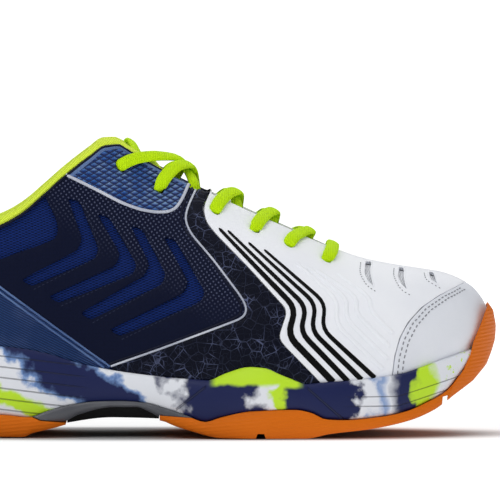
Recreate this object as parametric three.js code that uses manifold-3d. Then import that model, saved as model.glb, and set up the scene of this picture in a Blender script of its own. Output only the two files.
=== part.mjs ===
// Low-cut court shoe for the right foot, as an assembly of its sewn, moulded and cemented pieces.
// Millimetres. Toe along +X, medial side along +Y, ground at Z = 0.
import * as THREE from 'three';
import { LoftGeometry } from 'three/addons/geometries/LoftGeometry.js';
import { mergeVertices } from 'three/addons/utils/BufferGeometryUtils.js';
import Module from 'manifold-3d';

const wasm = await Module();
wasm.setup();

// ---------------------------------------------------------------- driving dimensions

const LENGTH = 290; // heel to toe, over the soles
const WIDTH = 108; // across the ball, over the midsole
const HEIGHT = 121.5; // ground to the top of the collar roll

const GAP = 0.3; // air kept between neighbouring pieces
const TEXTILE = 1.0; // knitted base of the quarters and the vamp
const SKIN = 1.2; // synthetic leather panels on the base
const COUNTER = 1.7; // heel counter wall
const PUFF = 0.9; // toe puff wall
const LINING = 1.0; // lining cloth
const PADDING = 4.7; // foam behind the lining at the collar
const PAD_DROP = 34; // how far the foam reaches below the collar edge
const ROLL = 3.2; // lining roll standing above the collar edge
const SIDEWALL = 3.6; // midsole wall outside the upper
const GUARD_PROUD = 0.7; // toe guard standing out beyond the midsole wall
const OUTRIGGER = 2.2; // swelling of the lateral wall beside the ball
const TUCK = 5; // how deep the panels reach into the midsole cup
const BOARD = 2.0; // lasting board
const SOCK = 4.5; // sockliner
const SOCK_PLAY = 1.2; // air round the sockliner
const TONGUE_PAD = 4.2; // foam and face of the tongue
const TONGUE_LINING = 1.6; // inner cloth of the tongue
const TONGUE_DIP = 5; // how far its free end sinks below the collar
const LACE_RADIUS = 1.15; // lace as drawn round, half its thickness
const EYELET_RADIUS = 2.5;
const PIPING_RADIUS = 0.6;
const BACKSTAY_HALF = 8; // half the width of the strip up the heel
const VAMP_LAP = 1.5; // the vamp skin laps this far over the seam of the base cloth
const SHANK_INSET = 1; // the shank plate stands back this far from the sole's side wall
const GROOVE_REAR = 45.4; // where the flex groove across the forefoot starts
const GROOVE_DRAFT = 1; // how much its walls lean over its depth
const BEYOND = 200; // clear of the shoe in plan
const FLEX_GROOVE = 4.7; // width of the groove under the ball
const GROOVE_DEPTH = 2;

// The outlines below are drawn on a shoe of this size and stretched to the driving dimensions.
const DRAWN = new THREE.Vector3(290, 108, 121.5);
const STRETCH = new THREE.Vector3(LENGTH, WIDTH, HEIGHT).divide(DRAWN);
const LATERAL = -1;
const MEDIAL = 1;
const FAR = 90; // beyond either side of the shoe

// ---------------------------------------------------------------- curves along the shoe

// A smooth function through [x, value] knots that never overshoots them, level beyond its ends.
function curve(...knots) {
  const chords = knots.slice(1).map((knot, i) => (knot[1] - knots[i][1]) / (knot[0] - knots[i][0]));
  const slopes = knots.map((knot, i) => {
    const before = chords[Math.max(i - 1, 0)];
    const after = chords[Math.min(i, chords.length - 1)];
    return before * after > 0 ? 2 * before * after / (before + after) : 0;
  });
  return (x) => {
    const next = knots.findIndex((knot) => knot[0] > x);
    if (next === 0) return knots[0][1];
    if (next < 0) return knots[knots.length - 1][1];
    const [x0, y0] = knots[next - 1];
    const [x1, y1] = knots[next];
    const t = (x - x0) / (x1 - x0);
    const bend0 = slopes[next - 1] * (x1 - x0);
    const bend1 = slopes[next] * (x1 - x0);
    return y0 + t * bend0 + t * t * (3 * (y1 - y0) - 2 * bend0 - bend1)
      + t * t * t * (2 * (y0 - y1) + bend0 + bend1);
  };
}

const smoothstep = (from, to, x) => THREE.MathUtils.smoothstep(x, from, to);

const TIP = 141.6; // the upper's ends, before the soles' walls
const BLUNT = 0.15; // the last stations stop this short of the tips
const envelope = curve([-142, 35], [-90, 35], [-60, 34.5], [-30, 34.2], [0, 36.8], [30, 43.3],
  [55, 48.3], [75, 49.6], [95, 49.2], [120, 47], [142, 45]);
const centreLine = curve([-142, 0.7], [-90, 0.5], [-60, -0.5], [-30, -1.5], [0, -1.7], [30, -1.1],
  [55, -0.3], [75, 0.1], [95, 1.3], [115, 4.1], [130, 6.5], [142, 8.1]);
const featherLine = curve([-142, 25], [-100, 24], [-60, 22], [0, 17.5], [60, 14], [100, 16],
  [125, 20.5], [142, 26]);
const widestLine = curve([-142, 38], [-60, 34], [0, 29.5], [60, 27.5], [100, 29.5], [125, 34],
  [142, 38]);
const crestLine = curve([-142, 200], [-100, 190], [-60, 163], [-40, 146], [-25, 136], [-13, 127.5],
  [0, 118.2], [13, 109.7], [26, 102.3], [45.5, 91.5], [59, 84.7], [70, 78.9], [78, 75], [90, 70.9],
  [102, 68.4], [115, 66.3], [122, 65.1], [128, 63], [133.6, 59.8], [138.2, 54.6], [142, 46]);
const crestAngle = curve([-142, 27], [-100, 25], [-70, 29], [-50, 39], [-30, 61], [-13, 80], [0, 89],
  [142, 89]);
const throatHalf = curve([-30, 15.5], [-10, 13.6], [20, 13.6], [30, 12.9], [45, 11.8], [66, 9], [74, 6],
  [78, 3.4], [79.5, 0.1]);
const roundness = curve([-142, 2], [80, 2], [110, 2.25], [142, 2.4]);

// Half width of the upper at its widest level, rounded off at the heel and the toe.
function halfWidth(x) {
  const toe = THREE.MathUtils.clamp((x - 80) / (TIP - 80), 0, 1);
  const heel = THREE.MathUtils.clamp((-93 - x) / (TIP - 93), 0, 1);
  return envelope(x) * Math.sqrt(1 - toe ** 2.5) * Math.sqrt(1 - heel ** 2.2);
}

// The heel leans in towards the collar and both ends tuck in under themselves.
function lean(x, z) {
  const atHeel = smoothstep(70, 125, -x);
  const atToe = smoothstep(98, 136, x);
  const back = 10 * smoothstep(42, 106, z) + 5 * smoothstep(-40, -20, -z);
  return atHeel * back - atToe * 8.5 * smoothstep(-42, -20, -z);
}

// ---------------------------------------------------------------- the lasted surface

const WELT_SHARE = 0.92; // width at the feather line against the widest level

// How far outside the lasted surface a drawn point is: 0 on it, negative within.
function outside(x, y, z) {
  const px = x - lean(x - lean(x, z), z);
  const across = Math.abs(y - centreLine(px)) / Math.max(halfWidth(px), 1e-3);
  const low = widestLine(px);
  if (z < low) {
    const down = (low - z) / (low - featherLine(px));
    return across - 1 + (1 - WELT_SHARE) * down * down;
  }
  const power = roundness(px);
  const up = (z - low) / (crestLine(px) - low);
  return (across ** power + up ** power) ** (1 / power) - 1;
}

// Outward unit normal of the lasted surface at a stretched point.
function normalAt(point) {
  const drawn = point.clone().divide(STRETCH);
  const step = 0.02;
  const probe = (dx, dy, dz) => outside(drawn.x + dx, drawn.y + dy, drawn.z + dz);
  return new THREE.Vector3(
    (probe(step, 0, 0) - probe(-step, 0, 0)) / STRETCH.x,
    (probe(0, step, 0) - probe(0, -step, 0)) / STRETCH.y,
    (probe(0, 0, step) - probe(0, 0, -step)) / STRETCH.z,
  ).normalize();
}

const STATIONS = 24;
const WALL_STEPS = 5;
const LOW_STEPS = 1;

// Drawn x of a station from 0 at the heel to 1 at the toe, closer together at the ends.
const stationX = (u) => -(TIP - BLUNT) * Math.cos(Math.PI * u);

// Point of the lasted surface: u from heel to toe, t from the feather line (0) to the crest (1).
function lasted(u, side, t) {
  const x = stationX(u);
  const low = widestLine(x);
  const lowShare = LOW_STEPS / WALL_STEPS;
  let across = 1;
  let z = low;
  if (t < lowShare) {
    const down = 1 - t / lowShare;
    across = 1 - (1 - WELT_SHARE) * down * down;
    z = low - down * (low - featherLine(x));
  } else {
    const top = THREE.MathUtils.degToRad(Math.min(crestAngle(x), 89));
    const angle = (t - lowShare) / (1 - lowShare) * top;
    const power = 2 / roundness(x);
    across = Math.cos(angle) ** power;
    z = low + (crestLine(x) - low) * Math.sin(angle) ** power;
  }
  const y = centreLine(x) + side * across * halfWidth(x);
  return new THREE.Vector3(x + lean(x, z), y, z).multiply(STRETCH);
}

// The lasted surface moved out by a depth, which may change from place to place.
function raised(point, depth) {
  const distance = typeof depth === 'function' ? depth(point) : depth;
  return point.clone().addScaledVector(normalAt(point), distance);
}

// The same, level with the point, as along the feather line and round the soles.
function raisedLevel(point, depth) {
  const distance = typeof depth === 'function' ? depth(point) : depth;
  const outward = normalAt(point).setZ(0).normalize();
  return point.clone().addScaledVector(outward, distance);
}

// Point over the side of the upper, from its place in the side view.
function onSide(x, z, side, depth) {
  const drawnX = x - lean(x - lean(x, z), z);
  const low = widestLine(drawnX);
  const power = roundness(drawnX);
  const up = THREE.MathUtils.clamp((z - low) / (crestLine(drawnX) - low), 0, 1);
  const across = (1 - up ** power) ** (1 / power);
  const y = centreLine(drawnX) + side * across * halfWidth(drawnX);
  return raised(new THREE.Vector3(x, y, z).multiply(STRETCH), depth);
}

// Point over the instep, from its place in the top view.
function onTop(x, y, depth) {
  const power = roundness(x);
  const across = Math.min(Math.abs(y - centreLine(x)) / halfWidth(x), 1);
  const low = widestLine(x);
  const z = low + (crestLine(x) - low) * (1 - across ** power) ** (1 / power);
  return raised(new THREE.Vector3(x, y, z).multiply(STRETCH), depth);
}

// ---------------------------------------------------------------- solids

function toSolid(geometry) {
  const bare = new THREE.BufferGeometry();
  bare.setAttribute('position', geometry.attributes.position);
  bare.setIndex(geometry.index);
  const merged = mergeVertices(bare, 1e-4);
  return new wasm.Manifold(new wasm.Mesh({
    numProp: 3,
    vertProperties: Float32Array.from(merged.attributes.position.array),
    triVerts: Uint32Array.from(merged.index.array),
  }));
}

function toGeometry(solid) {
  const mesh = solid.getMesh();
  const geometry = new THREE.BufferGeometry();
  geometry.setAttribute('position', new THREE.BufferAttribute(mesh.vertProperties, 3));
  geometry.setIndex(new THREE.BufferAttribute(mesh.triVerts, 1));
  geometry.computeVertexNormals();
  return geometry;
}

// Loft through sections that run up the medial side and down the lateral side, shut by seams at both ends.
function shutLoft(sections) {
  const across = (section, i) => section[section.length - 1 - i];
  const seam = (section) => section.map((point, i) => point.clone().lerp(across(section, i), 0.5));
  const all = [seam(sections[0]), ...sections, seam(sections[sections.length - 1])];
  return new LoftGeometry(all, { capStart: false, capEnd: false });
}

const loft = (sections) => toSolid(shutLoft(sections));

// The foot form grown by a depth, with its floor let down by a drop, from one station to another.
function form(depth, drop = 0, from = 0, to = STATIONS) {
  const sections = [];
  for (let i = from; i <= to; i += 1) {
    const u = i / STATIONS;
    const wall = (side) => Array.from({ length: WALL_STEPS + 1 }, (_, j) => {
      const place = lasted(u, side, j / WALL_STEPS);
      if (j > 0) return raised(place, depth);
      return raisedLevel(place, depth).setZ(place.z - drop);
    });
    sections.push([...wall(MEDIAL), ...wall(LATERAL).reverse()]);
  }
  return loft(sections);
}

// The wall between two depths, open along the feather line.
const shell = (inner, outer) => form(outer).subtract(form(inner, 3));

// The same wall between two stations only.
function instepShell(inner, outer) {
  const [from, to] = [8, 19];
  return form(outer, 0, from, to).subtract(form(inner, 3, from, to));
}

function extruded(points, across, depth) {
  const shape = new THREE.Shape(points.map(([a, b]) => new THREE.Vector2(a * across[0], b * across[1])));
  return new THREE.ExtrudeGeometry(shape, { depth, bevelEnabled: false });
}

// Prism across the shoe over an outline in the side view, between two values of y.
function sidePrism(points, from = -FAR, to = FAR) {
  const geometry = extruded(points, [STRETCH.x, STRETCH.z], to - from);
  geometry.rotateX(Math.PI / 2);
  return toSolid(geometry.translate(0, to, 0));
}

// Upright prism over an outline in the top view.
function planPrism(points) {
  const geometry = extruded(points, [STRETCH.x, STRETCH.y], 2 * HEIGHT);
  return toSolid(geometry.translate(0, 0, -HEIGHT / 2));
}

// Round bar through the wall of the upper at a place in the side view.
function borer(x, z, side, radius) {
  const middle = onSide(x, z, side, 0);
  const geometry = new THREE.CylinderGeometry(radius, radius, 16, 6);
  const turn = new THREE.Quaternion().setFromUnitVectors(new THREE.Vector3(0, 1, 0), normalAt(middle));
  geometry.applyQuaternion(turn);
  return toSolid(geometry.translate(middle.x, middle.y, middle.z));
}

// A route whose steps follow its points rather than its length, so tight bends keep theirs.
class Route extends THREE.CatmullRomCurve3 {
  getSpacedPoints(divisions) {
    return this.getPoints(divisions);
  }

  getTangentAt(u, target) {
    return this.getTangent(u, target);
  }
}

function tube(points, radius, sides, stepsPerPoint) {
  const corners = Array.from({ length: sides }, (_, i) => {
    const angle = i / sides * 2 * Math.PI;
    return new THREE.Vector2(radius * Math.cos(angle), radius * Math.sin(angle));
  });
  return new THREE.ExtrudeGeometry(new THREE.Shape(corners), {
    steps: stepsPerPoint * (points.length - 1),
    extrudePath: new Route(points, false, 'centripetal'),
  });
}

// ---------------------------------------------------------------- outlines in the side view

const collarEdge = curve([-160, 100], [-133, 99.5], [-122, 95.5], [-108, 87.8], [-92, 82.2], [-76, 81.4],
  [-59.2, 87], [-50.7, 91.8], [-41.6, 99.4], [-32.7, 107.2], [-22.6, 114.8], [-16.5, 118.6],
  [-12, 118.8], [0, 114.4], [20, 112]);
const midsoleTop = curve([-146, 39.5], [-120, 38.6], [-59.2, 37.2], [-49.4, 36.2], [-39.6, 34.2],
  [-26.5, 30.3], [-14.1, 27.7], [-0.4, 25.8], [9.4, 24.8], [27.1, 23.6], [65.3, 22.4], [75.1, 23.2],
  [88.2, 24.1], [106, 26.5], [116.4, 29.4], [125, 32.2], [134.2, 35.1]);
const bumpTop = curve([27.1, 0], [34, 3.6], [43.3, 6.4], [49, 6.2], [55.5, 3.8], [65.3, 0]);
const midsoleFloor = curve([-146, 15.5], [-138, 12], [-126, 9.8], [-100, 9.2], [-59.2, 9.2], [-47.4, 8.2],
  [-39.6, 10.6], [-29.8, 13.2], [-20, 14.5], [-10.2, 14.8], [-0.4, 14.2], [9.4, 11.6], [19.2, 8.3],
  [24.9, 6.6], [31.3, 8.6], [44.4, 11.3], [62, 11.9], [68.6, 10.6], [74.5, 8], [81.9, 7.7], [98, 9.1],
  [107.8, 11.1], [116.4, 14.6], [123.9, 18.6], [131.3, 27], [146, 40]);
const ground = curve([-146, 8], [-137, 2.6], [-127, 0], [-50, 0], [-46, 1.6], [-37.6, 3.6], [-31.7, 5.2],
  [-13.4, 7.4], [6.2, 7], [12.7, 4.6], [19.2, 2.7], [28, 0.4], [31, 0], [66, 0], [76.1, 1.9], [93.3, 3.9],
  [108.3, 6.9], [118.7, 10.9], [127.9, 17.3], [135.3, 22.4], [141.1, 28.8], [144.6, 36.8]);
const shankFloor = curve([-47.4, 4], [-40, 5.2], [-33, 6.4], [-26.5, 9.4], [-13.4, 12.3], [-3.6, 12.4],
  [2.9, 10], [6.2, 8.2], [25, 3.6]);

// Points along a curve between two stations, for use inside an outline.
function along(line, from, to, steps) {
  return Array.from({ length: steps + 1 }, (_, i) => {
    const x = from + (to - from) * i / steps;
    return [x, line(x)];
  });
}

const tuckLine = (x) => midsoleTop(x) - TUCK / STRETCH.z;
const aboveCollar = [...along(collarEdge, -150, 12, 18), [12, 160], [-150, 160]];
const throat = [
  ...along(throatHalf, -30, 79.5, 9).map(([x, half]) => [x, centreLine(x) - half]),
  ...along(throatHalf, 79.5, -30, 9).map(([x, half]) => [x, centreLine(x) + half]),
];

const vampRear = [[26.4, 112], [26.4, 100.4], [23.8, 93.1], [25.1, 87.3], [29.7, 82], [42.8, 69],
  [58.8, 51.9], [55.3, 41.7], [56.7, 38.8], [72.2, 23.3]];
const overlayFront = [[21, 112], [20.3, 99.9], [17.2, 93], [16.4, 88.3], [18.7, 83], [28.1, 72.4],
  [40.2, 56.9], [42.2, 52.5], [40.7, 49], [28.1, 44.3], [7.2, 36.5], [-13.7, 29.2]];
const heelPanelFront = [[-84, 90], [-78, 75.5], [-59.2, 61.4], [-36.3, 44.7], [-14.1, 29.1]];
const toeCapRear = [[100.8, 18], [101.4, 26.5], [102.3, 33.4], [104.3, 40.3], [107.8, 46.6], [113.5, 52.4],
  [121, 56.9], [127.9, 59.8], [134, 62.5], [136, 75]];
const tabLower = [[-33.6, 112], [-32.7, 107.2], [-20, 101], [-10.2, 95.8], [-2.3, 92.8], [4.2, 91.6],
  [9.4, 91.6], [12.7, 93.1], [15.3, 97.1], [17.4, 102.3], [17.4, 125]];
const guardRear = [[124.5, 12], [126.7, 20.7], [131.3, 27.1], [134.2, 33.4], [135.3, 38], [138.8, 46],
  [141.1, 51.8], [142.6, 54]];
const silhouetteToe = [[100, 2], [118.7, 10.4], [127.9, 17.3], [135.3, 22.4], [141.1, 28.8], [144.6, 36.8],
  [145.2, 43.7], [143.9, 50.6], [141.6, 54]];

const shifted = (points, dx, dz = 0) => points.map(([x, z]) => [x + dx, z + dz]);

// V-shaped windows of the quarter overlay: top, corner and tip of each.
const CHEVRONS = [
  { top: [-29.3, 96.6], corner: [-18.7, 74.7], tip: [-49, 63.2] },
  { top: [-16.8, 90.4], corner: [-3.2, 68.4], tip: [-35.4, 54.8] },
  { top: [-4.8, 86.2], corner: [8.8, 65.2], tip: [-22.3, 47.6] },
  { top: [14.4, 80.2], corner: [26.1, 56.4], tip: [-8.6, 42] },
];
const CHEVRON_TOP_WIDTH = 4.2;
const CHEVRON_CORNER_WIDTH = 7.5; // along the length, at the bend
const CHEVRON_LIFT = 0.6; // the inner bend stands this much higher than the outer one

function chevron({ top, corner, tip }) {
  const innerCorner = [corner[0] - CHEVRON_CORNER_WIDTH, corner[1] + CHEVRON_LIFT];
  return [top, corner, tip, innerCorner, [top[0] - CHEVRON_TOP_WIDTH, top[1]]];
}

// Crescent vents over the toes, one of each on either side of the crest.
const VENTS = [
  [[90.3, 70], [93.6, 69.6], [92.9, 66.2], [93.4, 63.5], [94.4, 60], [91.4, 62.5], [89.8, 65.6]],
  [[104.2, 67.5], [107, 67.1], [106.7, 63.9], [107.2, 61.2], [108.3, 58.4], [105.3, 60.8], [103.7, 63.9]],
  [[116.6, 65.5], [119.4, 65], [119.7, 63], [120.6, 60.5], [117, 63]],
];

const EYELETS = [[74.3, 71.4], [58.9, 77.9], [44.9, 84.1], [28.5, 91.9], [5.6, 101.3], [-10.4, 110.3]];

// ---------------------------------------------------------------- finishes

const finish = (color, roughness, metalness = 0) => ({ color, roughness, metalness });
const FINISH = {
  gumRubber: finish('#c9782a', 0.55),
  foam: finish('#dfe3ea', 0.6),
  shankPlastic: finish('#77787c', 0.4),
  fibreBoard: finish('#c9bfa8', 0.9),
  sockCloth: finish('#20263a', 0.9),
  stiffener: finish('#d8d2c4', 0.7),
  padding: finish('#e8e4d0', 0.95),
  collarCloth: finish('#c8e03c', 0.85),
  liningCloth: finish('#d9dce2', 0.9),
  royalMesh: finish('#16327c', 0.75),
  paleMesh: finish('#e8eaec', 0.8),
  navySkin: finish('#1a2038', 0.5),
  crinkleSkin: finish('#1e2238', 0.35),
  diamondSkin: finish('#14408c', 0.4, 0.2),
  metallicSkin: finish('#2c4a80', 0.35, 0.4),
  whiteSkin: finish('#eceef2', 0.45),
  silverPiping: finish('#c4c8d0', 0.3, 0.5),
  tongueCloth: finish('#1b2030', 0.9),
  lace: finish('#bff010', 0.8),
};

const shoe = new THREE.Group();

function add(name, solidOrGeometry, look) {
  const geometry = solidOrGeometry.isBufferGeometry ? solidOrGeometry : toGeometry(solidOrGeometry);
  const mesh = new THREE.Mesh(geometry, new THREE.MeshStandardMaterial(look));
  mesh.name = name;
  shoe.add(mesh);
}

// ---------------------------------------------------------------- soles

// Block over the whole sole plan, between a floor and a roof that are functions of drawn x.
function soleBlock(roof, floor, wall) {
  const sections = [];
  for (let i = 0; i <= STATIONS; i += 1) {
    const flank = (side) => {
      const base = lasted(i / STATIONS, side, LOW_STEPS / WALL_STEPS);
      const level = [0, 0.25, 0.7, 1];
      const bulge = [-1.6, 0, 0.3, -0.7];
      return level.map((share, k) => {
        const swell = side === LATERAL ? OUTRIGGER * bumpTop(base.x / STRETCH.x) / 6.4 : 0;
        const edge = raisedLevel(base, wall + bulge[k] + (k < 3 ? swell : swell * 0.4));
        const x = edge.x / STRETCH.x;
        const low = floor(x, side) * STRETCH.z;
        edge.z = low + share * (Math.max(roof(x, side) * STRETCH.z, low + 0.5) - low);
        return edge;
      });
    };
    sections.push([...flank(MEDIAL), ...flank(LATERAL).reverse()]);
  }
  return loft(sections);
}

const cavity = form(GAP + SKIN + GAP, BOARD + 2 * GAP);
const midsoleRoof = (x, side) => midsoleTop(x) + (side === LATERAL ? bumpTop(x) : 0);
const guardRegion = [...guardRear, [160, 54], [160, 12]];

const guardClear = sidePrism(shifted(guardRegion, -GAP));
const midsole = soleBlock(midsoleRoof, midsoleFloor, SIDEWALL).subtract(cavity).subtract(guardClear);
add('midsole', midsole, FINISH.foam);

const underMidsole = (x) => midsoleFloor(x) - GAP / STRETCH.z;
const foreRegion = sidePrism([[6.2, 8.6], [6.2, 0], [6.2, -5], [130, -5], [130, 40], [28, 40], [24.4, 7.6]]);
const guard = soleBlock(() => 56, ground, SIDEWALL + GUARD_PROUD)
  .intersect(sidePrism(guardRegion))
  .intersect(sidePrism([[60, -5], ...silhouetteToe, [60, 56]]));
const grooveFront = GROOVE_REAR + FLEX_GROOVE;
const flexGroove = sidePrism([[GROOVE_REAR, -GROOVE_DRAFT], [grooveFront, -GROOVE_DRAFT],
  [grooveFront - GROOVE_DRAFT, GROOVE_DEPTH], [GROOVE_REAR + GROOVE_DRAFT, GROOVE_DEPTH]]);
const forefoot = soleBlock(underMidsole, ground, SIDEWALL)
  .intersect(foreRegion)
  .add(guard)
  .subtract(cavity)
  .subtract(flexGroove);
add('outsole_forefoot', forefoot, FINISH.gumRubber);

const heelRegion = sidePrism([[-160, -5], [-32.5, -5], [-32.5, 6], [-43, 6.8], [-47.7, 8.4], [-47.7, 40],
  [-160, 40]]);
add('outsole_heel', soleBlock(underMidsole, ground, SIDEWALL).intersect(heelRegion), FINISH.gumRubber);

const shankRegion = sidePrism([[-47.4 + GAP, 40], [-47.4 + GAP, 8.7], [-42.8, 7.2], [-32.2, 6.2], [-32.2, -5],
  [5.9, -5], [5.9, 9], [18.6, 8.6], [18.6, 40]]);
add('shank_plate', soleBlock(underMidsole, shankFloor, SIDEWALL - SHANK_INSET).intersect(shankRegion),
  FINISH.shankPlastic);

// Flat piece on the last's floor: inset from the feather line, between two heights above it.
function floorPiece(inset, low, high, from, to) {
  const sections = [];
  for (let i = 0; i <= STATIONS; i += 1) {
    const u = from + (to - from) * i / STATIONS;
    const edge = (side, height) => {
      const base = lasted(u, side, 0);
      return raisedLevel(base, -inset).setZ(base.z + height);
    };
    sections.push([edge(MEDIAL, low), edge(MEDIAL, high), edge(LATERAL, high), edge(LATERAL, low)]);
  }
  return toSolid(shutLoft(sections));
}

add('lasting_board', floorPiece(0.4, -BOARD - GAP, -GAP, 0, 1), FINISH.fibreBoard);

const liningDepth = GAP + TEXTILE + GAP + COUNTER;
add('sockliner', floorPiece(liningDepth + LINING + SOCK_PLAY, GAP, GAP + SOCK, 0, 1), FINISH.sockCloth);

// ---------------------------------------------------------------- inner pieces of the upper

const keepOut = [sidePrism(aboveCollar), planPrism(throat)];
const open = (solid) => keepOut.reduce((left, cutter) => left.subtract(cutter), solid);

// Share of the collar foam at a place: full at the edge, none at its foot nor by the eyelets.
function swell(point) {
  const x = point.x / STRETCH.x;
  const below = collarEdge(x) * STRETCH.z - point.z;
  return smoothstep(-PAD_DROP, -8, -below) * smoothstep(14, 42, -x);
}
const puffed = (depth) => (point) => depth - PADDING * swell(point);

add('heel_counter', shell(-GAP - TEXTILE - COUNTER, -GAP - TEXTILE)
  .intersect(sidePrism([[-160, 15], [-74, 15], [-84, 50], [-104, 70], [-160, 74]])), FINISH.stiffener);
add('toe_puff', shell(-GAP - TEXTILE - PUFF, -GAP - TEXTILE)
  .intersect(sidePrism([[110, 15], [114, 40], [122, 54], [131, 75], [160, 75], [160, 15]])),
FINISH.stiffener);

const splitX = -24; // where the collar lining meets the vamp lining
const foamFoot = (x) => collarEdge(x) - PAD_DROP * 0.62 / STRETCH.z;
add('collar_padding', open(form(-liningDepth).subtract(form(puffed(-liningDepth - 2 * GAP), 3)))
  .intersect(sidePrism([[-160, 140], ...along(foamFoot, -160, -30, 9), [-30, 140]])), FINISH.padding);

const collarFace = -liningDepth - 3 * GAP - GAP;
const liningShell = form(puffed(collarFace)).subtract(form(puffed(collarFace - LINING), 3));
const rollFoot = (x) => collarEdge(x) + GAP / STRETCH.z;
const rollTop = (x) => collarEdge(x) + ROLL / STRETCH.z;
const rollBand = [...along(rollFoot, -150, splitX, 14), ...along(rollTop, splitX, -150, 14)];
const roll = form(2 * GAP).subtract(form(puffed(collarFace - LINING), 3)).intersect(sidePrism(rollBand));
add('collar_lining', liningShell
  .subtract(planPrism(throat))
  .intersect(sidePrism([[-150, 10], ...along(rollTop, -150, splitX, 14), [splitX, 10]]))
  .add(roll), FINISH.collarCloth);

const vampLiningDepth = GAP + TEXTILE + PUFF + GAP;
const eyeletPair = ([x, z]) => [LATERAL, MEDIAL].map((side) => borer(x, z, side, EYELET_RADIUS));
const eyeletHoles = EYELETS.flatMap(eyeletPair);
const pierced = (solid) => eyeletHoles.reduce((left, hole) => left.subtract(hole), solid);
add('vamp_lining', pierced(open(shell(-vampLiningDepth - LINING, -vampLiningDepth))
  .intersect(sidePrism([[splitX + 4, 0], [splitX + 4, 160], [160, 160], [160, 0]]))), FINISH.liningCloth);

// ---------------------------------------------------------------- base textile

const base = open(shell(-TEXTILE, 0));
const behindVamp = sidePrism([[-160, 0], [-160, 160], ...shifted(vampRear, -VAMP_LAP), [72, 0]]);
const aheadOfVamp = sidePrism([...shifted(vampRear, GAP - VAMP_LAP), [72 + GAP, 0], [160, 0], [160, 160],
  [26, 160]]);
// Everything on one side of the centre plane, half a gap clear of it.
function sideRoom(side) {
  const [low, high] = [side * GAP / 2, side * BEYOND].sort((a, b) => a - b);
  return planPrism([[-BEYOND, low], [BEYOND, low], [BEYOND, high], [-BEYOND, high]]);
}
const quarters = pierced(base.intersect(behindVamp));
add('quarter_mesh_lateral', quarters.intersect(sideRoom(LATERAL)), FINISH.royalMesh);
add('quarter_mesh_medial', quarters.intersect(sideRoom(MEDIAL)), FINISH.royalMesh);
add('vamp_mesh', pierced(base.intersect(aheadOfVamp)), FINISH.paleMesh);

// ---------------------------------------------------------------- outer panels

const skin = open(shell(GAP, GAP + SKIN));
const onOneSide = (solid, side) => solid.intersect(sideRoom(side));
const SIDES = { lateral: LATERAL, medial: MEDIAL };

const overlayRegion = sidePrism([
  [-41.5, 112], [-41.2, 98.4], [-35.6, 87.4], [-36.1, 81.1], [-59.2, 73], [-69, 69.2],
  ...shifted(heelPanelFront.slice(2, 4), 0.4, 0.4),
  ...shifted([...overlayFront].reverse(), -GAP, 0.2),
  [21.5, 160], [-41.5, 160],
]);
const tabRegion = sidePrism([...tabLower, [17.4, 160], [-33.6, 160]]);
const tabClear = sidePrism([...shifted(tabLower.slice(0, 8), -GAP / 2, -GAP),
  ...shifted(tabLower.slice(8), GAP),
  [17.7, 160], [-33.9, 160]]);
const windows = CHEVRONS.map((window) => sidePrism(chevron(window)));
const overlay = windows.reduce((left, window) => left.subtract(window), skin.intersect(overlayRegion))
  .subtract(tabClear);
const tab = pierced(skin.intersect(tabRegion));
const saddle = skin.intersect(sidePrism([
  ...shifted(overlayFront, 0.2, -0.2),
  [-13, 24.4],
  ...along(tuckLine, -8, 70, 8),
  ...shifted([...vampRear].reverse(), -GAP),
]));
const heelEnd = (foot) => [[-160, foot], [-95, foot], [-95, 160], [-160, 160]];
const heelPanel = skin
  .intersect(sidePrism([[-160, 30], ...along(tuckLine, -146, -14, 8), ...[...heelPanelFront].reverse(),
    [-84, 160], [-160, 160]]))
  .subtract(sidePrism(heelEnd(0), -BACKSTAY_HALF - GAP, BACKSTAY_HALF + GAP));

for (const [word, side] of Object.entries(SIDES)) {
  add(`quarter_overlay_${word}`, onOneSide(overlay, side), FINISH.navySkin);
  add(`eyelet_tab_${word}`, onOneSide(tab, side), FINISH.diamondSkin);
  add(`saddle_${word}`, onOneSide(saddle, side), FINISH.crinkleSkin);
  add(`heel_panel_${word}`, onOneSide(heelPanel, side), FINISH.metallicSkin);
}

const backstay = skin.intersect(sidePrism(heelEnd(34), -BACKSTAY_HALF, BACKSTAY_HALF));
add('heel_backstay', backstay, FINISH.navySkin);

const vampRegion = sidePrism([...vampRear, ...along(tuckLine, 74, 100, 4), ...shifted(toeCapRear, -GAP),
  [60, 160], [26, 160]]);
const vamp = VENTS.map((outline) => sidePrism(outline))
  .reduce((left, opening) => left.subtract(opening), pierced(skin.intersect(vampRegion)));
add('vamp', vamp, FINISH.whiteSkin);
add('toe_cap', skin.intersect(sidePrism([...toeCapRear, [160, 75], [160, 24], [110, 24]])), FINISH.whiteSkin);

// ---------------------------------------------------------------- piping

const onSkin = GAP + SKIN + GAP + PIPING_RADIUS;
function piping(points, side) {
  const route = points.map(([x, z]) => onSide(x, z, side, onSkin));
  return tube(route, PIPING_RADIUS, 5, 2);
}
for (const [word, side] of Object.entries(SIDES)) {
  add(`quarter_piping_${word}`, piping(overlayFront.slice(2), side), FINISH.silverPiping);
  add(`tab_piping_${word}`, piping(tabLower.slice(1, 10), side), FINISH.silverPiping);
}

// ---------------------------------------------------------------- tongue

const laceUnder = -vampLiningDepth - LINING - 3 * GAP - LACE_RADIUS;
const tongueFace = laceUnder - LACE_RADIUS - 5 * GAP;
const tonguePlan = (grow) => {
  const half = curve([-22, 9 + grow], [-18, 18 + grow], [-8, 20.5 + grow], [30, 22 + grow], [60, 20 + grow],
    [83, 13 + grow]);
  const aboveWalls = sidePrism([[-40, 76], [40, 66], [83, 50], [100, 50], [100, 160], [-40, 160]]);
  return planPrism([
    ...along(half, -22, 83, 8).map(([x, width]) => [x, centreLine(x) - width]),
    ...along(half, 83, -22, 8).map(([x, width]) => [x, centreLine(x) + width]),
  ]).intersect(aboveWalls);
};
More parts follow.
